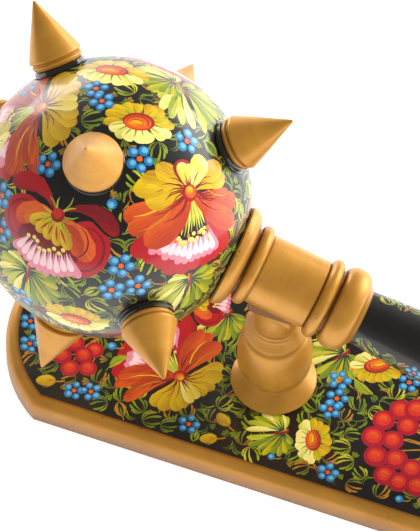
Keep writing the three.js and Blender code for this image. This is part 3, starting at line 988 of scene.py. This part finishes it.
# Small sprigs and the radius of the ground that each takes
FILLERS = ((comma_fan, 3.5), (scroll, 3.6), (twin_leaf, 3.4), (comma_fan, 3.0), (hook, 2.4),
           (scroll, 3.0), (leaflets, 1.6), (hook, 1.9), (leaflets, 1.3))


def fill(brush, lays, tries):
    """Small sprigs in the places that the flowers leave free, larger ones first."""
    for figure, reach in FILLERS:
        for _ in range(tries // len(FILLERS)):
            lay = lays(brush.random)
            middle, edge = lay([(0, 0), (reach, 0)])
            if brush.is_free(middle, np.linalg.norm(edge - middle)):
                brush.take(middle, np.linalg.norm(edge - middle))
                brush.lay = lay
                figure(brush)


def paint(brush, figures, lays, tries):
    """Sprigs first, kept off the flowers' middles, and then the flowers over them."""
    for figure, lay, reach in figures:
        brush.take(lay([(0, 0)])[0], reach * UNDER_FLOWER)
    fill(brush, lays, tries)
    for figure, lay, reach in figures:
        brush.lay = lay
        figure(brush)


# Figures on the ball: angle from the handle's direction, turn about the mace's axis, the
# figure's own angle, its scale and the radius of the ground that it takes
BALL_FIGURES = (
    (leaf, 84.1, -34.4, 45, 1.15, 15),
    (leaf, 88.0, -36.0, -75, 0.85, 10),
    (leaf, 108.7, 79.8, 10, 1.0, 14),
    (leaf, 43.9, 54.6, 22, 0.95, 13),
    (fan_flower, 63.4, 13.1, 32, 0.95, 23),
    (open_flower, 136.8, -0.6, -76, 0.88, 20),
    (red_flower, 108.3, 47.6, 3, 0.98, 22),
    (daisy, 94.7, -2.8, 22, 1.0, 11.5),
    (daisy, 113.3, -30.2, -8, 1.05, 12),
    (daisy, 82.3, 94.2, 8, 0.98, 11),
    (berry_flower, 116.5, -14.5, 10, 0.95, 5),
    (berry_flower, 112.0, -7.5, 40, 0.95, 5),
    (berry_flower, 121.8, 29.7, 0, 1.0, 5),
    (berry_flower, 88.4, 12.0, 0, 1.05, 5.2),
    (berry_flower, 73.8, -6.2, 20, 1.0, 5),
    (berry_flower, 76.4, 55.3, 0, 1.0, 5.2),
    (berry_flower, 75.3, 68.0, 30, 1.0, 5.2),
    (berry_flower, 66.0, 62.4, 10, 1.0, 5.2),
    (berry_flower, 127.6, 74.0, 10, 1.0, 5.2),
    (berry_flower, 135.5, 58.0, 30, 1.0, 5.2),
    (lone_berry, 90.7, 33.2, 200, 1.0, 3),
    # Hidden side and crown
    (open_flower, 92.0, -74.0, 0, 0.8, 20),
    (red_flower, 118.0, -90.0, 20, 0.9, 20),
    (daisy, 62.0, -66.0, 30, 0.95, 11),
    (leaf, 60.0, -88.0, 60, 0.9, 12),
    (fan_flower, 108.0, 130.0, -30, 0.9, 21),
    (red_flower, 66.0, 120.0, 60, 0.85, 18),
    (daisy, 122.0, -160.0, 0, 1.0, 12),
    (open_flower, 76.0, -140.0, 100, 0.8, 20),
    (leaf, 128.0, -118.0, 200, 0.9, 12),
    (daisy, 160.0, 40.0, 60, 1.0, 12),
    (leaf, 165.0, -80.0, 150, 0.9, 12),
    (daisy, 88.0, 172.0, 40, 0.95, 11),
    (leaf, 60.0, 165.0, 20, 0.8, 11),
    (berry_flower, 100.0, -128.0, 10, 1.0, 5.2),
    (berry_flower, 142.0, 150.0, 10, 1.0, 5.2),
    (berry_flower, 106.0, 100.0, 10, 1.0, 5.2),
    (berry_flower, 50.0, -120.0, 10, 1.0, 5.2),
    (berry_flower, 48.0, 140.0, 10, 1.0, 5.2),
    (berry_flower, 150.0, -30.0, 10, 1.0, 5.2),
    (berry_flower, 154.0, 100.0, 10, 1.0, 5.2),
)

# Figures on the board: place along and across it, the figure's own angle, its scale and the
# radius of the ground that it takes
BOARD_FIGURES = (
    (great_bunch, -3.0, -15.0, 0, 1.0, 19),
    (small_bunch, -134.5, -19.0, 0, 1.0, 10),
    (leaf, -46.6, -22.2, -60, 0.74, 11),
    (leaf, -35.9, 21.0, -35, 0.86, 12),
    (leaf, -86.0, 22.5, -25, 0.72, 10),
    (red_flower, -102.0, 24.0, 120, 0.6, 15),
    (open_flower, -94.0, -12.6, -130, 0.74, 19),
    (daisy, -34.2, -21.6, -72, 0.78, 8.5),
    (daisy, -21.8, 20.6, -150, 0.86, 9.5),
    (berry_flower, -159.6, -9.0, 0, 0.82, 4.4),
    (berry_flower, -156.0, -19.0, 0, 0.82, 4.4),
    (berry_flower, -131.5, -33.4, 0, 0.82, 4.4),
    (berry_flower, -125.0, -31.5, 30, 0.82, 4.4),
    (berry_flower, -83.0, -31.9, 0, 0.88, 4.6),
    (berry_flower, -33.4, 8.6, 0, 0.9, 4.6),
    (berry_flower, -31.6, 0.2, 0, 0.9, 4.6),
    (berry_flower, -32.4, -5.4, 30, 0.85, 4.6),
    (berry_flower, -23.6, -33.4, 0, 0.85, 4.6),
    (berry_flower, -7.0, 17.5, 0, 0.9, 4.6),
    (bud, -141.0, -32.0, 110, 0.95, 5),
    (bud, -71.0, -34.4, 115, 0.85, 5),
    (bud, -68.6, -26.4, 60, 0.85, 5),
    (lone_berry, -124.6, -8.5, 90, 0.9, 3),
    (lone_berry, -47.0, -34.6, 90, 0.7, 3),
    (lone_berry, 7.0, -35.0, 90, 0.8, 3),
    (small_leaf, -121.0, -17.0, -30, 1.1, 4.5),
    (small_leaf, -20.5, 8.0, 70, 1.2, 4.5),
    # Under the mace and past its middle
    (fan_flower, 44.0, 14.0, 60, 0.68, 17),
    (leaf, 18.0, 24.0, -40, 0.75, 11),
    (daisy, 55.0, -18.0, 0, 0.86, 11),
    (leaf, 40.0, -26.0, -60, 0.7, 11),
    (red_flower, 100.0, -14.0, 80, 0.68, 17),
    (leaf, 84.0, -30.0, -50, 0.62, 9),
    (daisy, 98.0, 20.0, 10, 0.86, 11),
    (berry_flower, 26.0, -34.5, 0, 0.85, 4.4),
    (berry_flower, 70.0, 30.0, 0, 0.85, 4.6),
    (berry_flower, 118.0, 12.0, 0, 0.85, 4.6),
    (berry_flower, 136.0, -22.0, 0, 0.85, 4.6),
    (berry_flower, 60.0, 34.0, 0, 0.85, 4.6),
    (bud, 122.0, 30.0, -70, 0.9, 5),
    (daisy, 145.0, 5.0, 90, 0.8, 10),
    (leaf, 128.0, -8.0, 30, 0.6, 9),
    (open_flower, -140.0, 20.0, 150, 0.55, 15),
    (leaf, -116.0, 12.0, 80, 0.6, 9),
    (berry_flower, -70.0, 32.0, 0, 0.85, 4.6),
    (daisy, -62.0, 18.0, 0, 0.7, 9),
)


# Three garlands run along the grip, at these turns about the mace's axis in degrees, with
# plain black between them
GARLANDS = (-45, 98, -155)
GARLAND_SPREAD = 18

# Figures on the grip: place along the mace, turn about it, the figure's own angle, its scale
# and the radius of the ground that it takes
GRIP_FIGURES = (
    (berry_flower, 136, 88, 20, 0.72, 3.6),
    (berry_flower, 158, -50, 0, 0.72, 3.6),
    (daisy, 172, 96, 80, 0.55, 7),
    (berry_flower, 190, 104, 20, 0.72, 3.6),
    (daisy, 180, -44, 100, 0.55, 7),
    (berry_flower, 205, -48, 20, 0.72, 3.6),
    (bud, 210, 92, -90, 0.7, 4),
    (berry_flower, 226, 100, 20, 0.72, 3.6),
    (bud, 232, -45, -90, 0.7, 4),
    (berry_flower, 140, -155, 20, 0.72, 3.6),
    (daisy, 176, -155, 80, 0.55, 7),
    (berry_flower, 212, -155, 0, 0.72, 3.6),
)


def paint_ball(palette, tries):
    brush = Brush(palette, True, seed=11)
    for polar, turn, radius in SPIKES.values():
        brush.take(BALL_RADIUS * ball_direction(polar, turn), radius)
    brush.take(BALL_RADIUS * ball_direction(0, 0), FLANGE["radius"])
    figures = [(figure, spot_on_ball(polar, turn, angle, scale), reach)
               for figure, polar, turn, angle, scale, reach in BALL_FIGURES]

    def anywhere(chance):
        polar = math.degrees(math.acos(chance.uniform(-1, 0.93)))
        return spot_on_ball(polar, chance.uniform(-180, 180), chance.uniform(0, 360),
                            chance.uniform(0.8, 1.05))
    paint(brush, figures, anywhere, tries)
    return brush


SPRIG_INSET = 9.0  # how far inside the board's edge a sprig's middle stays


def paint_board(palette, border, tries):
    brush = Brush(palette, False, seed=5)
    figures = [(figure, spot_on_board(x, y, angle, scale), reach)
               for figure, x, y, angle, scale, reach in BOARD_FIGURES]
    half_length, half_width = border.max(axis=0) - 3

    def anywhere(chance):
        while True:
            x = chance.uniform(-half_length, half_length)
            y = chance.uniform(-half_width, half_width)
            if inside_board(x, y, SPRIG_INSET):
                return spot_on_board(x, y, chance.uniform(0, 360), chance.uniform(0.68, 0.92))
    paint(brush, figures, anywhere, tries)
    return brush


def spot_on_grip(x, turn, angle=0, scale=1.0):
    """Lays a figure on the grip's canvas, whose second side runs around the mace."""
    return spot_on_board(x, (turn / 360 + 0.5) % 1 * grip_girth(), angle, scale)


def paint_grip(palette, tries):
    """The grip's canvas runs along the mace and around it, measured at its middle radius."""
    brush = Brush(palette, False, seed=8)
    figures = [(figure, spot_on_grip(x, turn, angle, scale), reach)
               for figure, x, turn, angle, scale, reach in GRIP_FIGURES]

    def garland(chance):
        turn = chance.choice(GARLANDS) + chance.uniform(-GARLAND_SPREAD, GARLAND_SPREAD)
        return spot_on_grip(chance.uniform(GRIP["start"] + 4, GRIP["end"] - 4), turn,
                            chance.uniform(0, 360), chance.uniform(0.5, 0.75))
    paint(brush, figures, garland, tries // 4)
    return brush


def grip_girth():
    return math.pi * (GRIP["start_radius"] + GRIP["crest_radius"])


def triangulate(border, extra, outlines):
    """Cuts a flat chart into triangles along the strokes' outlines. Returns the points, the
    triangles inside the border, and the last stroke that covers each, or 0."""
    points = [Vector(p) for p in border]
    faces = [list(range(len(points)))]
    owners = [0]
    for owner, outline in outlines:
        first = len(points)
        points += [Vector(p) for p in outline]
        faces.append(list(range(first, len(points))))
        owners.append(owner)
    points += [Vector(p) for p in extra]
    found, _, cells, _, _, sources = delaunay_2d_cdt(points, [], faces, 0, 1e-5, True)
    triangles, tops = [], []
    for cell, source in zip(cells, sources):
        if 0 in source:
            triangles.append(cell)
            tops.append(owners[max(source)])
    return np.array([tuple(p) for p in found]), np.array(triangles), np.array(tops)


def stroke_values(strokes, tops, corners):
    """Colours and brush places for every corner of the triangles."""
    def gather(name):
        return np.array([stroke[name] for stroke in strokes])[tops]
    offset = corners - gather("start")[:, None, :]
    along = np.einsum("ijk,ik->ij", offset, gather("along"))
    across = np.einsum("ijk,ik->ij", offset, gather("across"))
    load = np.einsum("ijk,ik->ij", offset, gather("slope")) + gather("level")[:, None]
    seeds = (tops * 7.3)[:, None]
    place = np.stack([along + seeds * 5, across + seeds, np.clip(load, 0, 1)], axis=2)
    near = np.repeat(gather("near")[:, None, :], 3, axis=1)
    far = np.repeat(gather("far")[:, None, :], 3, axis=1)
    return near, far, place


def set_strokes(mesh, near, far, place):
    """Stores the strokes on the mesh's corners, in the order of its faces."""
    for name, colours in (("near", near), ("far", far)):
        layer = mesh.attributes.new(name, "FLOAT_COLOR", "CORNER")
        flat = np.concatenate([colours.reshape(-1, 3), np.ones((colours.size // 3, 1))], axis=1)
        layer.data.foreach_set("color", flat.astype(np.float32).ravel())
    layer = mesh.attributes.new("stroke", "FLOAT_VECTOR", "CORNER")
    layer.data.foreach_set("vector", place.astype(np.float32).ravel())


def merge_points(points, triangles, tolerance=1e-3):
    """Joins points that fall together, such as those on the seam of two charts."""
    keys = np.round(points / tolerance).astype(np.int64)
    _, first, inverse = np.unique(keys, axis=0, return_index=True, return_inverse=True)
    joined = inverse.reshape(-1)[triangles]
    whole = ((joined[:, 0] != joined[:, 1]) & (joined[:, 1] != joined[:, 2])
             & (joined[:, 0] != joined[:, 2]))
    return points[first], joined[whole], whole


def ball_charts():
    """The six faces of a cube around the ball: each one's direction and two sides."""
    axes = np.eye(3)
    for k in range(3):
        for sign in (1, -1):
            yield axes[k] * sign, axes[(k + 1) % 3] * sign, axes[(k + 2) % 3]


def chart_steps(spacing):
    count = max(2, round(BALL_RADIUS * math.pi / 2 / spacing))
    return [math.tan(math.pi / 4 * (2 * i / count - 1)) for i in range(count + 1)]


def ball_chart(brush, chart, ticks):
    """Triangles of one cube face's part of the ball, seen from the ball's centre."""
    normal, side_u, side_v = chart
    outlines = []
    for index, stroke in enumerate(brush.strokes[1:], 1):
        height = stroke["outline"] @ normal
        if height.min() < 0.06 * BALL_RADIUS:
            continue
        flat = np.column_stack([stroke["outline"] @ side_u / height,
                                stroke["outline"] @ side_v / height])
        if flat.max(axis=0).min() < -1 or flat.min(axis=0).max() > 1:
            continue
        outlines.append((index, flat))
    border = ([(t, -1) for t in ticks] + [(1, t) for t in ticks[1:]]
              + [(t, 1) for t in ticks[-2::-1]] + [(-1, t) for t in ticks[-2:0:-1]])
    extra = [(u, v) for u in ticks[1:-1] for v in ticks[1:-1]]
    flat, triangles, tops = triangulate(border, extra, outlines)
    rays = normal + flat[:, :1] * side_u + flat[:, 1:] * side_v
    return BALL_RADIUS * rays / np.linalg.norm(rays, axis=1)[:, None], triangles, tops


def outward(points, triangles, middles):
    """Turns triangles to face away from the given middles, and says which it turned."""
    corners = points[triangles]
    facing = np.cross(corners[:, 1] - corners[:, 0], corners[:, 2] - corners[:, 0])
    flip = np.einsum("ij,ij->i", facing, corners.mean(axis=1) - middles) < 0
    triangles[flip] = triangles[flip][:, ::-1]
    return flip


def half_painted_mesh(context, name, points, triangles, values, rest, faces, painted_shades):
    """Painted triangles, whose corners carry the strokes, and gold faces beside them, which
    have points of their own."""
    first, painted = len(points), len(triangles)
    faces = triangles.tolist() + [[i + first for i in face] for face in faces]
    mesh = bpy.data.meshes.new(name)
    mesh.from_pydata((np.concatenate([points, rest]) * MM).tolist(), [], faces)
    blank = np.zeros((len(mesh.loops) - 3 * painted, 3))
    set_strokes(mesh, *(np.concatenate([value.reshape(-1, 3), blank]) for value in values))
    set_painted_shade(mesh, [0.0] * first + painted_shades)
    mesh.materials.append(gold(context))
    mesh.materials.append(painting())
    for face in mesh.polygons:
        face.material_index = 1 if face.index < painted else 0
    smooth(mesh)
    return mesh


def painted_ball_mesh(brush, spacing):
    ticks = chart_steps(spacing)
    points, triangles, tops = [], [], []
    for chart in ball_charts():
        found, cells, covers = ball_chart(brush, chart, ticks)
        triangles.append(cells + sum(len(p) for p in points))
        points.append(found)
        tops.append(covers)
    points, triangles, kept = merge_points(np.concatenate(points), np.concatenate(triangles))
    tops = np.concatenate(tops)[kept]
    outward(points, triangles, np.zeros(3))
    mesh = bpy.data.meshes.new("mace_ball")
    mesh.from_pydata((points * MM).tolist(), [], triangles.tolist())
    set_strokes(mesh, *stroke_values(brush.strokes, tops, points[triangles]))
    mesh.shade_smooth()
    matrix = mace_matrix()
    mesh.transform(matrix)
    turn = np.array(matrix.to_3x3())
    mesh.normals_split_custom_set_from_vertices((points / BALL_RADIUS @ turn.T).tolist())
    return mesh


class MACE_OT_ball(Operator):
    """Makes the painted ball"""

    bl_idname = "mace.ball"
    bl_label = "Painted Ball"

    def execute(self, context):
        settings = context.scene.mace_settings
        brush = paint_ball(palette_of(context), settings.fillers)
        mesh = painted_ball_mesh(brush, settings.grid / MM)
        mesh.materials.append(painting())
        declare(linked("painted_ball", mesh), "ball")
        return {"FINISHED"}


class MACE_OT_spikes(Operator):
    """Makes the ten turned spikes with their black necks"""

    bl_idname = "mace.spikes"
    bl_label = "Spikes"

    def execute(self, context):
        for name, (polar, turn, radius) in SPIKES.items():
            outline, divide = spike_outline(radius)
            points, faces, painted_shades = lathe(outline, context.scene.mace_settings.sides)
            mesh = make_mesh("spike_" + name, points, faces)
            # Painted shade in the spike's grooves, a little lighter than elsewhere
            set_painted_shade(mesh, [depth * 0.8 for depth in painted_shades])
            mesh.materials.append(gold(context))
            mesh.materials.append(lacquer(context))
            for face in mesh.polygons:
                face.material_index = 1 if face.center.z < divide * MM else 0
            smooth(mesh)
            heading = Vector(ball_direction(polar, turn)).to_track_quat("Z", "Y")
            lay_down(mesh, mace_matrix() @ heading.to_matrix().to_4x4())
            declare(linked("turned_spike_" + name, mesh), "spike_" + name)
        return {"FINISHED"}


def grip_mesh_parts(brush, spacing):
    """The painted grip: a chart along and around the mace, rolled on the grip's outline."""
    around = grip_girth()
    columns = round((GRIP["end"] - GRIP["start"]) / spacing)
    rows = round(around / spacing)
    us = [GRIP["start"] + (GRIP["end"] - GRIP["start"]) * i / columns for i in range(columns + 1)]
    vs = [around * i / rows for i in range(rows + 1)]
    border = ([(u, 0) for u in us] + [(us[-1], v) for v in vs[1:]]
              + [(u, around) for u in us[-2::-1]] + [(us[0], v) for v in vs[-2:0:-1]])
    extra = [(u, v) for u in us[1:-1] for v in vs[1:-1]]
    outlines = [(i, stroke["outline"][:, :2]) for i, stroke in enumerate(brush.strokes) if i]
    flat, triangles, tops = triangulate(border, extra, outlines)
    canvas = np.column_stack([flat, np.zeros(len(flat))])
    values = stroke_values(brush.strokes, tops, canvas[triangles])
    turns = flat[:, 1] / around * 2 * math.pi
    radii = np.array([grip_radius(u) for u in flat[:, 0]])
    points = np.column_stack([radii * np.cos(turns), radii * np.sin(turns), flat[:, 0]])
    points, triangles, kept = merge_points(points, triangles)
    return points, triangles, [value[kept] for value in values]


class MACE_OT_handle(Operator):
    """Makes the handle: gold rings and barrel, painted grip and gold butt"""

    bl_idname = "mace.handle"
    bl_label = "Handle"

    def execute(self, context):
        settings = context.scene.mace_settings
        brush = paint_grip(palette_of(context), settings.fillers)
        points, triangles, values = grip_mesh_parts(brush, settings.grid / MM)
        flip = outward(points, triangles, points[triangles].mean(axis=1) * (0, 0, 1))
        for value in values:
            value[flip] = value[flip][:, ::-1]
        rest, faces, painted_shades = [], [], []
        for outline in (collar_outline(), butt_outline()):
            turned_points, turned_faces, turned_painted_shades = lathe(outline, settings.sides)
            faces += [[i + len(rest) for i in face] for face in turned_faces]
            rest += turned_points
            painted_shades += turned_painted_shades
        mesh = half_painted_mesh(context, "mace_handle", points, triangles, values,
                                 rest, faces, painted_shades)
        lay_down(mesh, mace_matrix() @ Matrix.Rotation(math.pi / 2, 4, "Y"))
        declare(linked("turned_handle", mesh), "handle")
        return {"FINISHED"}


def applied(piece):
    """Replaces a piece's mesh by what its modifiers make of it."""
    evaluated = piece.evaluated_get(bpy.context.evaluated_depsgraph_get())
    mesh = bpy.data.meshes.new_from_object(evaluated)
    piece.modifiers.clear()
    piece.data = mesh


def joined_with(piece, tool, operation):
    """Adds or cuts away a helper object, which is removed afterwards."""
    modifier = piece.modifiers.new(operation.lower(), "BOOLEAN")
    modifier.operation = operation
    modifier.object = tool
    modifier.solver = "EXACT"
    applied(piece)
    bpy.data.objects.remove(tool)


def block_parts(post):
    """The block that the saddle is cut in, with its underside along the mace."""
    half_length, half_width, low = post["block"]
    points = []
    for height, slope in ((low, math.tan(MACE_TILT)), (post["axis"], 0.0)):
        points += [(x, y, height - x * slope)
                   for x, y in ((-half_length, -half_width), (half_length, -half_width),
                                (half_length, half_width), (-half_length, half_width))]
    faces = [(3, 2, 1, 0), (4, 5, 6, 7), (0, 1, 5, 4), (1, 2, 6, 5), (2, 3, 7, 6), (3, 0, 4, 7)]
    return points, faces


def mace_radius(along):
    return BARREL["radius"] if along < GRIP["start"] else grip_radius(along)


def saddle_tool(post, sides):
    """The room that the mace takes in a post's saddle."""
    reach = post["knob"][0] * SADDLE_REACH
    steps = 12
    places = [post["along"] + reach * (2 * i / steps - 1) for i in range(steps + 1)]
    outline = [(0, places[0])]
    outline += [(mace_radius(place) + SADDLE_CLEARANCE, place) for place in places]
    outline += [(0, places[-1])]
    points, faces, _ = lathe(outline, sides)
    tool = linked("saddle_tool", make_mesh("saddle_tool", points, faces))
    tool.matrix_world = (Matrix.Translation((0, 0, post["axis"] * MM))
                         @ Matrix.Rotation(MACE_TILT + math.pi / 2, 4, "Y")
                         @ Matrix.Translation((0, 0, -post["along"] * MM)))
    bpy.context.view_layer.update()
    return tool


def post_painted_shade(mesh, outline):
    """Painted groove shade of each point of a remeshed post, from its height on the outline."""
    outline = dense(outline)
    heights = np.array([h for _, h in outline])
    painted_shades = painted_shade_depths(outline)
    order = np.argsort(heights, kind="stable")
    own = np.empty(len(mesh.vertices) * 3)
    mesh.vertices.foreach_get("co", own)
    return np.interp(own.reshape(-1, 3)[:, 2] / MM, heights[order], painted_shades[order])


class MACE_OT_posts(Operator):
    """Turns the two posts and cuts their saddles"""

    bl_idname = "mace.posts"
    bl_label = "Posts"

    def execute(self, context):
        settings = context.scene.mace_settings
        for node, post in (("head_post", HEAD_POST), ("handle_post", HANDLE_POST)):
            outline = post_outline(post)
            points, faces, _ = lathe(outline, settings.sides)
            piece = linked("turned_" + node, make_mesh("turned_" + node, points, faces))
            block = linked("saddle_block", make_mesh("saddle_block", *block_parts(post)))
            joined_with(piece, block, "UNION")
            joined_with(piece, saddle_tool(post, settings.sides), "DIFFERENCE")
            remesh = piece.modifiers.new("even", "REMESH")
            remesh.mode = "VOXEL"
            remesh.voxel_size = settings.voxel
            soften = piece.modifiers.new("soften", "SMOOTH")
            soften.factor = 0.5
            soften.iterations = 2
            applied(piece)
            mesh = piece.data
            set_painted_shade(mesh, post_painted_shade(mesh, outline))
            mesh.materials.append(gold(context))
            mesh.shade_smooth()
            low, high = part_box(node)
            middle = (low + high) / 2
            lay_down(mesh, Matrix.Translation((middle.x, middle.y, low.z)))
            declare(piece, node)
        return {"FINISHED"}


def end_radius():
    half = BOARD["width"] / 2
    return (half ** 2 + BOARD["bulge"] ** 2) / (2 * BOARD["bulge"])


def inside_board(x, y, inset):
    """Whether a place lies within the board's outline, less an inset."""
    radius = end_radius()
    centre = BOARD["length"] / 2 - radius
    beyond = max(0.0, abs(x) - centre)
    return abs(y) < BOARD["width"] / 2 - inset and math.hypot(beyond, y) < radius - inset


def board_outline(inset, steps=28):
    """The board's outline, inset from its edge, counter-clockwise."""
    half = BOARD["width"] / 2
    radius = end_radius()
    centre = BOARD["length"] / 2 - radius
    reach = math.asin((half - inset) / (radius - inset))
    end = []
    for i in range(steps + 1):
        turn = reach * (2 * i / steps - 1)
        end.append((centre + (radius - inset) * math.cos(turn), (radius - inset) * math.sin(turn)))
    return np.array(end + [(-x, -y) for x, y in end])


class MACE_OT_board(Operator):
    """Makes the board with its painted top and gold edge"""

    bl_idname = "mace.board"
    bl_label = "Board"

    def execute(self, context):
        settings = context.scene.mace_settings
        top, edge = BOARD["thickness"], BOARD["edge"]
        border = board_outline(edge)
        brush = paint_board(palette_of(context), border, settings.fillers)
        outlines = [(i, s["outline"][:, :2]) for i, s in enumerate(brush.strokes) if i]
        flat, triangles, tops = triangulate(border, [], outlines)
        points = np.column_stack([flat, np.full(len(flat), top)])
        canvas = np.column_stack([flat, np.zeros(len(flat))])
        values = stroke_values(brush.strokes, tops, canvas[triangles])
        levels, painted_shades = edge_levels(top, edge)
        rest = [(x, y, height) for inset, height in levels for x, y in board_outline(inset)]
        count = len(border)
        faces = []
        for low in range(0, (len(levels) - 1) * count, count):
            for i in range(count):
                j = (i + 1) % count
                faces.append((low + i, low + j, low + count + j, low + count + i))
        faces.append(range(len(levels) * count - 1, (len(levels) - 1) * count - 1, -1))
        painted_shades = [depth for depth in painted_shades for _ in range(count)]
        mesh = half_painted_mesh(context, "board", points, triangles, values, rest, faces, painted_shades)
        lay_down(mesh, Matrix.Identity(4))
        declare(linked("painted_board", mesh), "board")
        return {"FINISHED"}


def edge_levels(top, edge, steps=10):
    """Insets and heights from the painted top, over the rounded edge, down to the underside,
    and how dark the gold paint is at each: dark along the black top's border, and darker
    towards the bottom, which is painted shade."""
    levels = [(edge, top), (edge - 0.45, top - 0.12)]
    painted_shades = [0.9, 0.5]
    # Painted shade grows as the rounded edge turns down
    for i in range(2, steps + 1):
        turn = math.pi / 2 * (1 - i / steps)
        levels.append((edge * (1 - math.cos(turn)), top - edge * (1 - math.sin(turn))))
        painted_shades.append(0.35 * (i / steps) ** 3)
    # Painted shade, darkest where the edge meets the floor
    levels += [(0.0, 0.8), (0.5, 0.0)]
    painted_shades += [0.7, 0.9]
    return levels, painted_shades


# Where the photograph was taken from, in the board's frame, in metres and degrees
CAMERA_PLACE = (0.31611, -1.17789, 2.03744)
CAMERA_ELEVATION = 57.5221
CAMERA_AZIMUTH = 18.8822
CAMERA_ROLL = 1.5079
CAMERA_LENS = 400.65


def camera_matrix():
    elevation, azimuth, roll = map(
        math.radians, (CAMERA_ELEVATION, CAMERA_AZIMUTH, CAMERA_ROLL))
    back = Vector((math.sin(azimuth) * math.cos(elevation),
                   -math.cos(azimuth) * math.cos(elevation), math.sin(elevation)))
    right = Vector((math.cos(azimuth), math.sin(azimuth), 0))
    up = back.cross(right)
    side = math.cos(roll) * right + math.sin(roll) * up
    head = -math.sin(roll) * right + math.cos(roll) * up
    matrix = Matrix((side, head, back)).transposed().to_4x4()
    return Matrix.Translation(CAMERA_PLACE) @ matrix


# Soft boxes: place, what each faces, width, height, power in watts, and whether it shows in
# reflections. Only the two low ones behind do, and they make the pale rims of the ball.
SOFT_BOXES = {
    "front_box": ((-0.7, -1.5, 1.1), (-0.06, 0, 0.06), 2.2, 1.8, 16, False),
    "right_box": ((1.9, -0.5, 1.3), (-0.06, 0, 0.06), 1.8, 1.8, 30, False),
    "high_right_box": ((1.3, 1.1, 1.3), (-0.1, 0, 0.1), 1.3, 1.0, 44, False),
    "back_left_box": ((-1.5, 1.3, 0.4), (-0.12, 0, 0.1), 1.1, 0.7, 18, True),
    "back_right_box": ((1.0, 1.5, 0.55), (-0.1, 0, 0.1), 1.3, 0.8, 22, True),
}


FLOOR_REACH = 4.0  # from the floor's middle to its sides, in metres
ROOM_LIGHT = 0.2


class MACE_OT_stage(Operator):
    """Sets the floor, the lights and the camera"""

    bl_idname = "mace.stage"
    bl_label = "Stage"

    def execute(self, context):
        scene = context.scene
        points = [(x * FLOOR_REACH, y * FLOOR_REACH, 0)
                  for x, y in ((-1, -1), (1, -1), (1, 1), (-1, 1))]
        mesh = bpy.data.meshes.new("floor")
        mesh.from_pydata(points, [], [(0, 1, 2, 3)])
        mesh.materials.append(floor_material())
        linked("floor", mesh)
        for name, (place, target, width, height, power, mirrored) in SOFT_BOXES.items():
            light = bpy.data.lights.new(name, "AREA")
            light.shape = "RECTANGLE"
            light.size, light.size_y = width, height
            light.energy = power
            lamp = linked(name, light)
            lamp.location = place
            lamp.visible_glossy = mirrored
            heading = Vector(place) - Vector(target)
            lamp.rotation_euler = heading.to_track_quat("Z", "Y").to_euler()
        world = bpy.data.worlds.new("studio")
        world.use_nodes = True
        background = world.node_tree.nodes["Background"]
        background.inputs["Color"].default_value = (1, 1, 1, 1)
        background.inputs["Strength"].default_value = ROOM_LIGHT
        scene.world = world
        scene.view_settings.view_transform = "Standard"
        data = bpy.data.cameras.new("camera")
        data.lens = CAMERA_LENS
        scene.camera = linked("camera", data)
        scene.camera.matrix_world = camera_matrix()
        return {"FINISHED"}


OPERATORS = (MACE_OT_board, MACE_OT_posts, MACE_OT_ball, MACE_OT_spikes, MACE_OT_handle,
             MACE_OT_stage)


class MACE_PT_sidebar(Panel):
    """Lists the mace's pieces and their settings"""

    bl_idname = "MACE_PT_sidebar"
    bl_label = "Ceremonial Mace"
    bl_space_type = "VIEW_3D"
    bl_region_type = "UI"
    bl_category = "Mace"

    def draw(self, context):
        layout = self.layout
        for operator in OPERATORS:
            layout.operator(operator.bl_idname)
        for group, values in ((MaceSettings, context.scene.mace_settings),
                              (MacePalette, context.scene.mace_palette)):
            for name in group.__annotations__:
                layout.prop(values, name)


CLASSES = (MacePalette, MaceSettings, *OPERATORS, MACE_PT_sidebar)


def register():
    for cls in CLASSES:
        bpy.utils.register_class(cls)
    bpy.types.Scene.mace_palette = PointerProperty(type=MacePalette)
    bpy.types.Scene.mace_settings = PointerProperty(type=MaceSettings)


def unregister():
    del bpy.types.Scene.mace_settings
    del bpy.types.Scene.mace_palette
    for cls in reversed(CLASSES):
        bpy.utils.unregister_class(cls)


def main():
    register()
    bpy.ops.mace.board()
    bpy.ops.mace.posts()
    bpy.ops.mace.ball()
    bpy.ops.mace.spikes()
    bpy.ops.mace.handle()
    bpy.ops.mace.stage()


if __name__ == "__main__":
    main()
